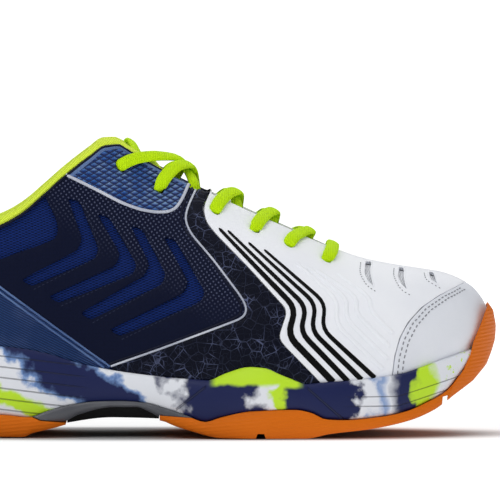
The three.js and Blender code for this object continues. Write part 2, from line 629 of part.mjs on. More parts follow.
// The free end of the tongue dips away from the crest.
const dipped = (depth) => (point) => depth - TONGUE_DIP * smoothstep(-4, 22, -point.x / STRETCH.x);
const tongueBack = tongueFace - TONGUE_PAD;
const tongueShell = instepShell(dipped(tongueBack), dipped(tongueFace));
add('tongue', tongueShell.intersect(tonguePlan(0)), FINISH.tongueCloth);
add('tongue_lining', instepShell(dipped(tongueBack - GAP - TONGUE_LINING), dipped(tongueBack - GAP))
  .intersect(tonguePlan(-1)), FINISH.collarCloth);

// ---------------------------------------------------------------- lace

const laceOver = GAP + SKIN + 2 * GAP + LACE_RADIUS;

const TOP_SLACK = 15; // the loose strand to the top lateral eyelet bows this far towards the toe

// One crossing: out of the throat beside eyelet `low`, over the tongue, into the next on the other side.
function crossing(low, side) {
  const isTop = low === EYELETS.length - 2;
  const slack = isTop && side === MEDIAL ? TOP_SLACK : 0;
  const sag = isTop && side === LATERAL ? 4 : 0;
  const from = onSide(...EYELETS[low], side, 0).divide(STRETCH);
  const to = onSide(...EYELETS[low + 1], -side, 0).divide(STRETCH);
  const spread = Math.abs(to.y - from.y);
  const edge = (Math.abs(from.y - centreLine(from.x)) - throatHalf(from.x)) / spread;
  const rise = side === MEDIAL ? 2.9 : 0;
  const stages = [[edge * 0.45, laceUnder], [edge + 0.045, laceUnder], [edge + 0.14, -1.4 - sag * 0.6],
    [0.5, 0.9 + rise - sag],
    [0.9 - edge, laceOver - 0.4 + rise * 0.3], [1 - edge, laceOver], [0.93, laceOver]];
  return stages.map(([share, depth]) => {
    const place = from.clone().lerp(to, share);
    return onTop(place.x + slack * Math.sin(Math.PI * share), place.y, depth);
  });
}

// Through an eyelet from the outside in.
function threading(index, side) {
  const depths = [laceOver - 1, 0.2, -2, laceUnder];
  return depths.map((depth) => onSide(...EYELETS[index], side, depth));
}

// Half of the lace, from the bar across the lowest pair to its end tucked in under the top pair.
function halfLace(first) {
  const points = [];
  let side = first;
  const [barX] = EYELETS[0];
  points.push(onTop(barX + 1, centreLine(barX) + side * 9, laceOver + 0.5));
  points.push(onTop(barX + 0.5, centreLine(barX) + side * 18, laceOver));
  for (let index = 0; index < EYELETS.length; index += 1) {
    points.push(...threading(index, side));
    if (index < EYELETS.length - 1) points.push(...crossing(index, side));
    side = index < EYELETS.length - 1 ? -side : side;
  }
  const [endX, endZ] = EYELETS[EYELETS.length - 1];
  const tucked = [[0, -2, -0.9], [0, -5, -1.3]];
  points.push(...tucked.map(([dx, dz, lower]) => onSide(endX + dx, endZ + dz, side, laceUnder + lower)));
  return points;
}
const laceRoute = [...halfLace(LATERAL).reverse(), ...halfLace(MEDIAL)];
add('lace', tube(laceRoute, LACE_RADIUS, 5, 1), FINISH.lace);

export default shoe;
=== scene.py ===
"""Looks of the low-cut court shoe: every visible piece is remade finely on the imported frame."""
import logging
import math
from dataclasses import dataclass
from enum import Enum
from typing import Callable, Iterable, Sequence

import bmesh
import bpy
import numpy as np
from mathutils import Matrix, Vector
from mathutils.geometry import delaunay_2d_cdt


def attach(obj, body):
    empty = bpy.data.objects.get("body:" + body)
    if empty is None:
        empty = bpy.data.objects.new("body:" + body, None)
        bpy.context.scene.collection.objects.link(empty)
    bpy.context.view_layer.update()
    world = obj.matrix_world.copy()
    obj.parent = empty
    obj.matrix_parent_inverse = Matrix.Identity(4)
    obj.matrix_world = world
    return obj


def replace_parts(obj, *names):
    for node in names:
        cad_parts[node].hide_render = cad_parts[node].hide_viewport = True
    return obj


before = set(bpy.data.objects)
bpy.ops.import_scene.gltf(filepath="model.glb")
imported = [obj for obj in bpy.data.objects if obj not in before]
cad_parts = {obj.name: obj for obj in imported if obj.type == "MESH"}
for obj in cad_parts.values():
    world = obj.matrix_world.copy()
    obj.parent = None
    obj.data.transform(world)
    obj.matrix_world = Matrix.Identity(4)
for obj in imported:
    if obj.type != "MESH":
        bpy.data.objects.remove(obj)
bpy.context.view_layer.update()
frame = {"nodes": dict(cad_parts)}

LOG = logging.getLogger("court_shoe")
MM = 0.001

Points = Sequence[Sequence[float]]
Array = np.ndarray


class Side(Enum):
    """The two sides of a right shoe."""

    LATERAL = -1
    MEDIAL = 1


# ------------------------------------------------------------------ curves and the lasted surface


class Curve:
    """A smooth function through (x, value) knots that never overshoots them, level beyond its ends."""

    def __init__(self, *knots: Sequence[float]) -> None:
        """Fits the curve.

        Args:
            knots: The points it passes through, in rising x.
        """
        self.x = np.array([k[0] for k in knots], float)
        self.y = np.array([k[1] for k in knots], float)
        chord = np.diff(self.y) / np.diff(self.x)
        before = np.concatenate([chord[:1], chord])
        after = np.concatenate([chord, chord[-1:]])
        same = before * after > 0
        total = np.where(same, before + after, 1.0)
        self.slope = np.where(same, 2 * before * after / total, 0.0)

    def __call__(self, x: Array | float) -> Array:
        """Value of the curve at x."""
        x = np.clip(np.asarray(x, float), self.x[0], self.x[-1])
        i = np.clip(np.searchsorted(self.x, x, side="right") - 1, 0, len(self.x) - 2)
        run = self.x[i + 1] - self.x[i]
        t = (x - self.x[i]) / run
        y0, y1 = self.y[i], self.y[i + 1]
        b0, b1 = self.slope[i] * run, self.slope[i + 1] * run
        return y0 + t * b0 + t**2 * (3 * (y1 - y0) - 2 * b0 - b1) + t**3 * (2 * (y0 - y1) + b0 + b1)


def smoothstep(low: float, high: float, x: Array | float) -> Array:
    """0 below low, 1 above high, smooth between."""
    t = np.clip((np.asarray(x, float) - low) / (high - low), 0, 1)
    return t * t * (3 - 2 * t)


class Last:
    """The surface that the upper is stretched over, in millimetres, with (u, w) places on it.

    u runs from the heel (0) to the toe (1); w from the lateral feather line (-1) over the crest (0)
    to the medial feather line (1).
    """

    TIP = 141.6
    WELT_SHARE = 0.92
    WALL = 0.85

    envelope = Curve((-142, 35), (-90, 35), (-60, 34.5), (-30, 34.2), (0, 36.8), (30, 43.3), (55, 48.3),
                     (75, 49.6), (95, 49.2), (120, 47), (142, 45))
    centre = Curve((-142, 0.7), (-90, 0.5), (-60, -0.5), (-30, -1.5), (0, -1.7), (30, -1.1), (55, -0.3),
                   (75, 0.1), (95, 1.3), (115, 4.1), (130, 6.5), (142, 8.1))
    feather = Curve((-142, 25), (-100, 24), (-60, 22), (0, 17.5), (60, 14), (100, 16), (125, 20.5),
                    (142, 26))
    widest = Curve((-142, 38), (-60, 34), (0, 29.5), (60, 27.5), (100, 29.5), (125, 34), (142, 38))
    crest = Curve((-142, 200), (-100, 190), (-60, 163), (-40, 146), (-25, 136), (-13, 127.5), (0, 118.2),
                  (13, 109.7), (26, 102.3), (45.5, 91.5), (59, 84.7), (70, 78.9), (78, 75), (90, 70.9),
                  (102, 68.4), (115, 66.3), (122, 65.1), (128, 63), (133.6, 59.8), (138.2, 54.6), (142, 46))
    throat = Curve((-30, 15.5), (-10, 13.6), (20, 13.6), (30, 12.9), (45, 11.8), (66, 9), (74, 6), (78, 3.4),
                   (79.5, 0.1))
    power = Curve((-142, 2), (80, 2), (110, 2.25), (142, 2.4))

    def half(self, x: Array) -> Array:
        """Half width at the widest level."""
        toe = np.clip((x - 80) / (self.TIP - 80), 0, 1)
        heel = np.clip((-93 - x) / (self.TIP - 93), 0, 1)
        return self.envelope(x) * np.sqrt(1 - toe**2.5) * np.sqrt(1 - heel**2.2)

    def lean(self, x: Array, z: Array) -> Array:
        """Shift in x that leans the heel inwards and tucks both ends under."""
        at_heel = smoothstep(70, 125, -x)
        at_toe = smoothstep(98, 136, x)
        back = 10 * smoothstep(42, 106, z) + 5 * smoothstep(-40, -20, -z)
        return at_heel * back - at_toe * 8.5 * smoothstep(-42, -20, -z)

    def unlean(self, x: Array, z: Array) -> Array:
        """The x that a leaned place had before leaning."""
        return x - self.lean(x - self.lean(x, z), z)

    def station(self, x: Array) -> Array:
        """u of an unleaned x."""
        return np.arccos(np.clip(-np.asarray(x, float) / self.TIP, -1, 1)) / math.pi

    def drawn_x(self, u: Array) -> Array:
        """Unleaned x of u."""
        return -self.TIP * np.cos(math.pi * np.asarray(u, float))

    def place(self, x: Array, z: Array, side: Side) -> Array:
        """(u, w) of places given in the side view.

        Args:
            x: Distance ahead of the middle.
            z: Height.
            side: Which side of the shoe.

        Returns:
            An array of (u, w) rows.
        """
        x, z = np.asarray(x, float), np.asarray(z, float)
        px = self.unlean(x, z)
        low = self.widest(px)
        up = np.clip((z - low) / (self.crest(px) - low), 0, 1)
        angle = np.arcsin(np.clip(up ** (self.power(px) / 2), 0, 1))
        above = self.WALL * (1 - angle / (math.pi / 2))
        down = np.clip((low - z) / (low - self.feather(px)), 0, 1)
        w = np.where(z < low, self.WALL + (1 - self.WALL) * down, above)
        return np.stack([self.station(px), side.value * w], -1)

    def place_top(self, x: Array, y: Array) -> Array:
        """(u, w) of places given in the top view, y counted from the centre line."""
        x, y = np.asarray(x, float), np.asarray(y, float)
        across = np.clip(np.abs(y) / self.half(x), 0, 1)
        angle = np.arccos(across ** (self.power(x) / 2))
        return np.stack([self.station(x), np.sign(y) * self.WALL * (1 - angle / (math.pi / 2))], -1)

    def point(self, uw: Array) -> Array:
        """Points of the surface at (u, w) rows."""
        uw = np.asarray(uw, float)
        u, w = np.clip(uw[..., 0], 0, 1), uw[..., 1]
        x = self.drawn_x(u)
        size = np.abs(w)
        low = self.widest(x)
        down = np.clip((size - self.WALL) / (1 - self.WALL), 0, None)
        angle = (1 - np.clip(size / self.WALL, 0, 1)) * math.pi / 2
        share = 2 / self.power(x)
        across = np.where(size > self.WALL, 1 - (1 - self.WELT_SHARE) * down**2,
                          np.abs(np.cos(angle)) ** share)
        z = np.where(size > self.WALL, low - down * (low - self.feather(x)),
                     low + (self.crest(x) - low) * np.sin(angle) ** share)
        y = self.centre(x) + np.sign(w) * across * self.half(x)
        return np.stack([x + self.lean(x, z), y, z], -1)

    def normal(self, uw: Array) -> Array:
        """Outward unit normals at (u, w) rows."""
        step = 2e-4
        uw = np.asarray(uw, float)
        u = np.clip(uw[..., 0], step, 1 - step)
        w = uw[..., 1]
        du = self.point(np.stack([u + step, w], -1)) - self.point(np.stack([u - step, w], -1))
        dw = self.point(np.stack([u, w + step], -1)) - self.point(np.stack([u, w - step], -1))
        n = np.cross(du, dw)
        n /= np.maximum(np.linalg.norm(n, axis=-1, keepdims=True), 1e-12)
        out = self.point(np.stack([u, w], -1)) - np.stack(
            [np.clip(self.drawn_x(u), -90, 80), self.centre(self.drawn_x(u)), np.full_like(u, 35.0)], -1)
        return n * np.sign(np.sum(n * out, -1, keepdims=True))

    def raised(self, uw: Array, depth: Array | float) -> Array:
        """The surface moved out by a depth."""
        return self.point(uw) + self.normal(uw) * np.asarray(depth, float)[..., None]

    def level(self, uw: Array, depth: Array | float) -> Array:
        """The surface moved out by a depth, keeping its height."""
        n = self.normal(uw)
        n[..., 2] = 0
        n /= np.linalg.norm(n, axis=-1, keepdims=True)
        return self.point(uw) + n * np.asarray(depth, float)[..., None]

    def on_side(self, x: float, z: float, side: Side, depth: float) -> Array:
        """Point over a place of the side view."""
        return self.raised(self.place(x, z, side), depth)


LAST = Last()

# Depths outside the lasted surface of each layer, and other sizes shared by the pieces.
GAP = 0.3
SKIN = 1.2
SKIN_TOP = GAP + SKIN
TEXTILE = 1.0
SIDEWALL = 3.6
EYELET_RADIUS = 2.3

# ------------------------------------------------------------------ outlines in the side view

COLLAR = Curve((-160, 100), (-133, 99.5), (-122, 95.5), (-108, 87.8), (-92, 82.2), (-76, 81.4), (-59.2, 87),
               (-50.7, 91.8), (-41.6, 99.4), (-32.7, 107.2), (-22.6, 114.8), (-16.5, 118.6), (-12, 118.8),
               (0, 114.4), (20, 112))
MIDSOLE_TOP = Curve((-146, 39.5), (-120, 38.6), (-59.2, 37.2), (-49.4, 36.2), (-39.6, 34.2), (-26.5, 30.3),
                    (-14.1, 27.7), (-0.4, 25.8), (9.4, 24.8), (27.1, 23.6), (65.3, 22.4), (75.1, 23.2),
                    (88.2, 24.1), (106, 26.5), (116.4, 29.4), (125, 32.2), (134.2, 35.1))
BUMP = Curve((27.1, 0), (34, 3.6), (43.3, 6.4), (49, 6.2), (55.5, 3.8), (65.3, 0))
MIDSOLE_FLOOR = Curve((-146, 15.5), (-138, 12), (-126, 9.8), (-100, 9.2), (-59.2, 9.2), (-47.4, 8.2),
                      (-39.6, 10.6), (-29.8, 13.2), (-20, 14.5), (-10.2, 14.8), (-0.4, 14.2), (9.4, 11.6),
                      (19.2, 8.3), (24.9, 6.6), (31.3, 8.6), (44.4, 11.3), (62, 11.9), (68.6, 10.6),
                      (74.5, 8), (81.9, 7.7), (98, 9.1), (107.8, 11.1), (116.4, 14.6), (123.9, 18.6),
                      (131.3, 27), (146, 40))
GROUND = Curve((-146, 8), (-137, 2.6), (-127, 0), (-50, 0), (-46, 1.6), (-37.6, 3.6), (-31.7, 5.2),
               (-13.4, 7.4), (6.2, 7), (12.7, 4.6), (19.2, 2.7), (28, 0.4), (31, 0), (66, 0), (76.1, 1.9),
               (93.3, 3.9), (108.3, 6.9), (118.7, 10.9), (127.9, 17.3), (135.3, 22.4), (141.1, 28.8),
               (144.6, 36.8))
SHANK_FLOOR = Curve((-47.4, 4), (-40, 5.2), (-33, 6.4), (-26.5, 9.4), (-13.4, 12.3), (-3.6, 12.4), (2.9, 10),
                    (6.2, 8.2), (25, 3.6))

VAMP_REAR = [(23.8, 93.1), (25.1, 87.3), (29.7, 82), (42.8, 69), (58.8, 51.9), (55.3, 41.7), (56.7, 38.8),
             (72.2, 23.3)]
OVERLAY_FRONT = [(20.3, 99.9), (17.2, 93), (16.4, 88.3), (18.7, 83), (28.1, 72.4), (40.2, 56.9),
                 (42.2, 52.5), (40.7, 49), (28.1, 44.3), (7.2, 36.5), (-13.7, 29.2)]
HEEL_FRONT = [(-80.4, 81.3), (-78, 75.5), (-59.2, 61.4), (-36.3, 44.7), (-14.1, 29.1)]
TOE_CAP_REAR = [(134.6, 61.4), (131.3, 61), (127.9, 59.8), (121, 56.9), (113.5, 52.4), (107.8, 46.6),
                (104.3, 40.3), (102.3, 33.4), (101.4, 26.5), (100.8, 20)]
TAB_LOWER = [(-32.7, 107.2), (-20, 101), (-10.2, 95.8), (-2.3, 92.8), (4.2, 91.6), (9.4, 91.6), (12.7, 93.1),
             (15.3, 97.1), (17.4, 102.3)]
GUARD_REAR = [(124.5, 16), (126.7, 20.7), (131.3, 27.1), (134.2, 33.4), (135.3, 38), (138.8, 46),
              (141.1, 51.8)]
EYELETS = [(74.3, 71.4), (58.9, 77.9), (44.9, 84.1), (28.5, 91.9), (5.6, 101.3), (-10.4, 110.3)]


def tuck(x: Array | float) -> Array:
    """Height at which the panels end inside the midsole cup."""
    return MIDSOLE_TOP(x) - 3.5


def along(curve: Callable[[float], float], start: float, end: float,
          steps: int) -> list[tuple[float, float]]:
    """Points of a curve between two values of x."""
    return [(x, float(curve(x))) for x in np.linspace(start, end, steps + 1)]


def shifted(points: Points, dx: float, dz: float = 0) -> list[tuple[float, float]]:
    """The same points moved."""
    return [(x + dx, z + dz) for x, z in points]


def rounded(points: Points, radius: float, closed: bool = True) -> list[tuple[float, float]]:
    """Rounds the corners of an outline or a line.

    Args:
        points: Its corners.
        radius: How far from a corner its round begins.
        closed: Whether the last point joins the first.

    Returns:
        The rounded points.
    """
    pts = [np.array(p, float) for p in points]
    count = len(pts)
    out: list[tuple[float, float]] = []
    for i, corner in enumerate(pts):
        if not closed and i in (0, count - 1):
            out.append(tuple(corner))
            continue
        before, after = pts[i - 1] - corner, pts[(i + 1) % count] - corner
        reach_before = min(radius, 0.45 * np.linalg.norm(before))
        reach_after = min(radius, 0.45 * np.linalg.norm(after))
        a = corner + before / max(np.linalg.norm(before), 1e-9) * reach_before
        b = corner + after / max(np.linalg.norm(after), 1e-9) * reach_after
        for t in np.linspace(0, 1, 5):
            out.append(tuple((1 - t) ** 2 * a + 2 * t * (1 - t) * corner + t**2 * b))
    return out


def dense(points: Points, step: float, closed: bool = False) -> Array:
    """The same line with points no further apart than a step."""
    pts = [np.array(p, float) for p in points]
    if closed:
        pts.append(pts[0])
    out = [pts[0]]
    for a, b in zip(pts, pts[1:]):
        count = max(1, math.ceil(np.linalg.norm(b - a) / step))
        out += [a + (b - a) * k / count for k in range(1, count + 1)]
    return np.array(out[:-1] if closed else out)


# ------------------------------------------------------------------ mesh building

SHEET_SCALE = np.array([420.0, 110.0])


def inside(polygon: Array, points: Array) -> Array:
    """Which points lie inside a polygon."""
    x, y = points[:, 0][:, None], points[:, 1][:, None]
    a, b = polygon, np.roll(polygon, -1, 0)
    crosses = (a[:, 1] > y) != (b[:, 1] > y)
    with np.errstate(divide="ignore", invalid="ignore"):
        at = (b[:, 0] - a[:, 0]) * (y - a[:, 1]) / (b[:, 1] - a[:, 1]) + a[:, 0]
    return (np.sum(crosses & (x < at), 1) % 2).astype(bool)


def clearance(polygon: Array, points: Array) -> Array:
    """Distance of points from a polygon's edge."""
    a = polygon[None]
    edge = np.roll(polygon, -1, 0)[None] - a
    t = np.clip(np.sum((points[:, None] - a) * edge, 2) / np.maximum(np.sum(edge**2, 2), 1e-12), 0, 1)
    return np.min(np.linalg.norm(points[:, None] - a - t[..., None] * edge, axis=2), 1)


def cut_sheet(outline: Array, holes: Iterable[Array], pitch: float) -> tuple[Array, list[tuple[int, ...]]]:
    """Cuts a flat pattern with holes and fills it with small triangles.

    Args:
        outline: Closed outline in (u, w).
        holes: Closed outlines cut out of it.
        pitch: Distance between the points inside, in millimetres.

    Returns:
        The (u, w) points and the triangles.
    """
    loops = [np.asarray(outline) * SHEET_SCALE] + [np.asarray(h) * SHEET_SCALE for h in holes]
    low, high = loops[0].min(0), loops[0].max(0)
    columns = np.arange(low[0], high[0], pitch)
    rows = np.arange(low[1], high[1], pitch * 0.87)
    grid = np.array([(x + (j % 2) * pitch / 2, y) for j, y in enumerate(rows) for x in columns])
    keep = np.zeros(len(grid), bool)
    if len(grid):
        keep = inside(loops[0], grid)
        for hole in loops[1:]:
            keep &= ~inside(hole, grid)
        for loop in loops:
            chosen = np.flatnonzero(keep)
            keep[chosen] = clearance(loop, grid[chosen]) > 0.45 * pitch
    points = np.concatenate(loops + [grid[keep]])
    edges = []
    start = 0
    for loop in loops:
        edges += [(start + i, start + (i + 1) % len(loop)) for i in range(len(loop))]
        start += len(loop)
    result = delaunay_2d_cdt([Vector(p) for p in points], edges, [], 0, 1e-5)
    verts = np.array([tuple(v) for v in result[0]])
    faces = [tuple(f) for f in result[2]]
    middles = np.array([verts[list(f)].mean(0) for f in faces])
    keep_face = inside(loops[0], middles)
    for hole in loops[1:]:
        keep_face &= ~inside(hole, middles)
    return verts / SHEET_SCALE, [f for f, k in zip(faces, keep_face) if k]


def deselect() -> None:
    """Leaves nothing selected."""
    if bpy.context.object and bpy.context.object.mode != "OBJECT":
        bpy.ops.object.mode_set(mode="OBJECT")
    bpy.ops.object.select_all(action="DESELECT")


def activate(piece: bpy.types.Object) -> None:
    """Makes a piece the only selected and the active one."""
    deselect()
    piece.select_set(True)
    bpy.context.view_layer.objects.active = piece


def new_piece(name: str, points: Array, faces: Sequence[Sequence[int]],
              merge: float = 0.004) -> bpy.types.Object:
    """Makes a mesh piece from points in millimetres.

    Args:
        name: The piece's name.
        points: Its points.
        faces: Its faces.
        merge: Points closer than this are joined.

    Returns:
        The piece, in metres.
    """
    mesh = bpy.data.meshes.new(name)
    mesh.from_pydata([tuple(p * MM) for p in np.asarray(points, float)], [], [tuple(f) for f in faces])
    piece = bpy.data.objects.new(name, mesh)
    bpy.context.scene.collection.objects.link(piece)
    work = bmesh.new()
    work.from_mesh(mesh)
    bmesh.ops.remove_doubles(work, verts=work.verts, dist=merge * MM)
    bmesh.ops.dissolve_degenerate(work, edges=work.edges, dist=1e-7)
    work.to_mesh(mesh)
    work.free()
    return piece


def face_out(piece: bpy.types.Object) -> None:
    """Turns a closed mesh's faces outwards."""
    activate(piece)
    bpy.ops.object.mode_set(mode="EDIT")
    bpy.ops.mesh.select_all(action="SELECT")
    bpy.ops.mesh.normals_make_consistent(inside=False)
    bpy.ops.object.mode_set(mode="OBJECT")


def apply_modifier(piece: bpy.types.Object, kind: str, **settings: object) -> None:
    """Adds a modifier with its settings and applies it."""
    activate(piece)
    modifier = piece.modifiers.new(kind.lower(), kind)
    for key, value in settings.items():
        setattr(modifier, key, value)
    bpy.ops.object.modifier_apply(modifier=modifier.name)


def smooth(piece: bpy.types.Object, angle: float = 38) -> bpy.types.Object:
    """Shades a piece smooth up to an angle."""
    activate(piece)
    bpy.ops.object.shade_smooth_by_angle(angle=math.radians(angle))
    return piece


def join(pieces: Sequence[bpy.types.Object], name: str) -> bpy.types.Object:
    """Joins pieces into one with a name."""
    deselect()
    for piece in pieces:
        piece.select_set(True)
    bpy.context.view_layer.objects.active = pieces[0]
    if len(pieces) > 1:
        bpy.ops.object.join()
    pieces[0].name = name
    pieces[0].data.name = name
    return pieces[0]


def panel(name: str, outline: Array, depth: float | Callable[[Array], Array], thickness: float,
          holes: Iterable[Array] = (), pitch: float = 2.4, edge: float = 0.4) -> bpy.types.Object:
    """A panel of the upper: a cut pattern laid over the last, given a thickness and rounded edges.

    Args:
        name: The piece's name.
        outline: Its outline in (u, w).
        depth: Depth of its inner face outside the lasted surface, or a function of (u, w) rows.
        thickness: How thick it is.
        holes: Outlines of its holes in (u, w).
        pitch: Size of its mesh.
        edge: Width of the round along its edges.

    Returns:
        The panel.
    """
    uw, faces = cut_sheet(outline, holes, pitch)
    inner = depth(uw) if callable(depth) else np.full(len(uw), float(depth))
    a, b, c = (LAST.point(uw[[f[k] for f in faces]]) for k in range(3))
    outward = np.sum(np.cross(b - a, c - a) * LAST.normal(uw[[f[0] for f in faces]]), 1)
    faces = [f if o > 0 else f[::-1] for f, o in zip(faces, outward)]
    piece = new_piece(name, LAST.raised(uw, inner), faces)
    apply_modifier(piece, "SOLIDIFY", thickness=thickness * MM, offset=1.0, use_even_offset=False)
    if edge > 0:
        apply_modifier(piece, "BEVEL", width=edge * MM, segments=2, limit_method="ANGLE",
                       angle_limit=math.radians(55), use_clamp_overlap=True)
    return smooth(piece)


def side_loop(points: Points, side: Side, step: float = 1.3, closed: bool = True) -> Array:
    """A line of the side view as dense (u, w) places."""
    pts = dense(points, step, closed)
    return LAST.place(pts[:, 0], pts[:, 1], side)


def eyelet_loop(x: float, z: float, side: Side, radius: float = EYELET_RADIUS) -> Array:
    """Round hole outline about a place of the side view."""
    middle = LAST.place(x, z, side)
    du = LAST.point(middle + [1e-3, 0]) - LAST.point(middle)
    dw = LAST.point(middle + [0, 1e-3]) - LAST.point(middle)
    turn = np.linspace(0, 2 * math.pi, 16, endpoint=False)
    steps = np.stack([np.cos(turn) / np.linalg.norm(du), np.sin(turn) / np.linalg.norm(dw)], -1)
    return middle + radius * 1e-3 * steps


def grid_faces(rows: int, columns: int, wrap: bool) -> list[tuple[int, int, int, int]]:
    """Quads of a grid of points.

    Args:
        rows: Number of rows.
        columns: Points in a row.
        wrap: Whether a row's last point joins its first.

    Returns:
        The quads.
    """
    faces = []
    for i in range(rows - 1):
        for j in range(columns if wrap else columns - 1):
            k = (j + 1) % columns
            faces.append((i * columns + j, i * columns + k, (i + 1) * columns + k, (i + 1) * columns + j))
    return faces


def swept(name: str, path: Array, across: Array, up: Array, section: Points) -> bpy.types.Object:
    """A closed bar swept along a path.

    Args:
        name: The piece's name.
        path: Its points.
        across: Unit vectors across it.
        up: Unit vectors out of its flat side.
        section: Its section as (across, up) points.

    Returns:
        The bar.
    """
    section = np.asarray(section, float)
    rings = path[:, None] + across[:, None] * section[None, :, :1] + up[:, None] * section[None, :, 1:]
    count = len(section)
    points = rings.reshape(-1, 3)
    faces: list[tuple[int, ...]] = list(grid_faces(len(path), count, True))
    faces.append(tuple(range(count))[::-1])
    faces.append(tuple((len(path) - 1) * count + k for k in range(count)))
    piece = new_piece(name, points, faces, merge=0.0005)
    face_out(piece)
    return smooth(piece, 50)


def round_section(width: float, height: float, sides: int = 8) -> list[tuple[float, float]]:
    """An oval section."""
    turn = [2 * math.pi * k / sides for k in range(sides)]
    return [(width / 2 * math.cos(a), height / 2 * math.sin(a)) for a in turn]


def surface_tube(name: str, uw: Array, depth: float, width: float, height: float) -> bpy.types.Object:
    """A cord or bead lying along a line of (u, w) places."""
    path = LAST.raised(uw, depth)
    up = LAST.normal(uw)
    tangent = np.gradient(path, axis=0)
    across = np.cross(tangent, up)
    across /= np.linalg.norm(across, axis=1, keepdims=True)
    return swept(name, path, across, up, round_section(width, height))


def stitch_row(uw: Array, depth: float, pitch: float = 2.2, length: float = 1.6,
               width: float = 0.5) -> tuple[Array, list]:
    """Stitches along a line of (u, w) places, each a short pointed bead.

    Args:
        uw: The line.
        depth: Depth of the thread's middle.
        pitch: Distance from stitch to stitch.
        length: Length of a stitch.
        width: Thickness of the thread.

    Returns:
        Points and faces.
    """
    path = LAST.raised(uw, depth)
    run = np.concatenate([[0], np.cumsum(np.linalg.norm(np.diff(path, axis=0), axis=1))])
    count = max(1, int(run[-1] / pitch))
    sides = 5
    points, faces = [], []
    for k in range(count):
        middle = (k + 0.5) * run[-1] / count
        marks = middle + np.array([-0.5, -0.3, 0.3, 0.5]) * length
        spots = np.stack([np.interp(marks, run, uw[:, 0]), np.interp(marks, run, uw[:, 1])], -1)
        centres = LAST.raised(spots, np.array([depth - 0.3, depth, depth, depth - 0.3]))
        up = LAST.normal(spots)
        tangent = centres[-1] - centres[0]
        across = np.cross(np.broadcast_to(tangent, up.shape), up)
        across /= np.maximum(np.linalg.norm(across, axis=1, keepdims=True), 1e-9)
        base = len(points)
        for ring, fat in enumerate((0.25, 1, 1, 0.25)):
            for s in range(sides):
                a = 2 * math.pi * s / sides
                spoke = math.cos(a) * across[ring] + math.sin(a) * up[ring]
                points.append(centres[ring] + fat * width / 2 * spoke)
        for ring in range(3):
            for s in range(sides):
                t = (s + 1) % sides
                faces.append((base + ring * sides + s, base + ring * sides + t,
                              base + (ring + 1) * sides + t, base + (ring + 1) * sides + s))
        faces.append(tuple(base + s for s in range(sides))[::-1])
        faces.append(tuple(base + 3 * sides + s for s in range(sides)))
    return np.array(points), faces


def stitches(name: str, lines: Iterable[Array], depth: float, **sizes: float) -> bpy.types.Object:
    """A piece made of rows of stitches along lines of (u, w) places."""
    points, faces = [], []
    for line in lines:
        new_points, new_faces = stitch_row(line, depth, **sizes)
        base = sum(len(p) for p in points)
        points.append(new_points)
        faces += [tuple(base + i for i in f) for f in new_faces]
    piece = new_piece(name, np.concatenate(points), faces, merge=0.0002)
    face_out(piece)
    return smooth(piece, 60)


# ------------------------------------------------------------------ materials

Colour = tuple[float, float, float]


def srgb(red: float, green: float, blue: float) -> Colour:
    """Linear colour from 0-255 display values."""
    def linear(c: float) -> float:
        c /= 255
        return c / 12.92 if c <= 0.04045 else ((c + 0.055) / 1.055) ** 2.4
    return linear(red), linear(green), linear(blue)


class Signal:
    """A value inside a material; arithmetic on it adds the nodes."""

    def __init__(self, graph: "Graph", socket: bpy.types.NodeSocket) -> None:
        """Wraps an output socket."""
        self.graph = graph
        self.socket = socket

    def math(self, operation: str, *others: "Signal | float") -> "Signal":
        """One math node fed by this value and others."""
        return self.graph.node("ShaderNodeMath", dict(enumerate([self, *others])), operation=operation)

    def __add__(self, other: "Signal | float") -> "Signal":
        return self.math("ADD", other)

    __radd__ = __add__

    def __sub__(self, other: "Signal | float") -> "Signal":
        return self.math("SUBTRACT", other)

    def __mul__(self, other: "Signal | float") -> "Signal":
        return self.math("MULTIPLY", other)

    __rmul__ = __mul__

    def __truediv__(self, other: "Signal | float") -> "Signal":
        return self.math("DIVIDE", other)

    def smooth(self, low: float, high: float) -> "Signal":
        """0 below low, 1 above high, smooth between."""
        return self.graph.node("ShaderNodeMapRange", {0: self, 1: low, 2: high, 3: 0.0, 4: 1.0},
                               interpolation_type="SMOOTHSTEP")

    def within(self, low: float, high: float, soft: float) -> "Signal":
        """1 between low and high, 0 outside, with soft ends."""
        return self.smooth(low - soft, low + soft) * (1 - self.smooth(high - soft, high + soft))

    def __rsub__(self, other: float) -> "Signal":
        return self * -1.0 + other


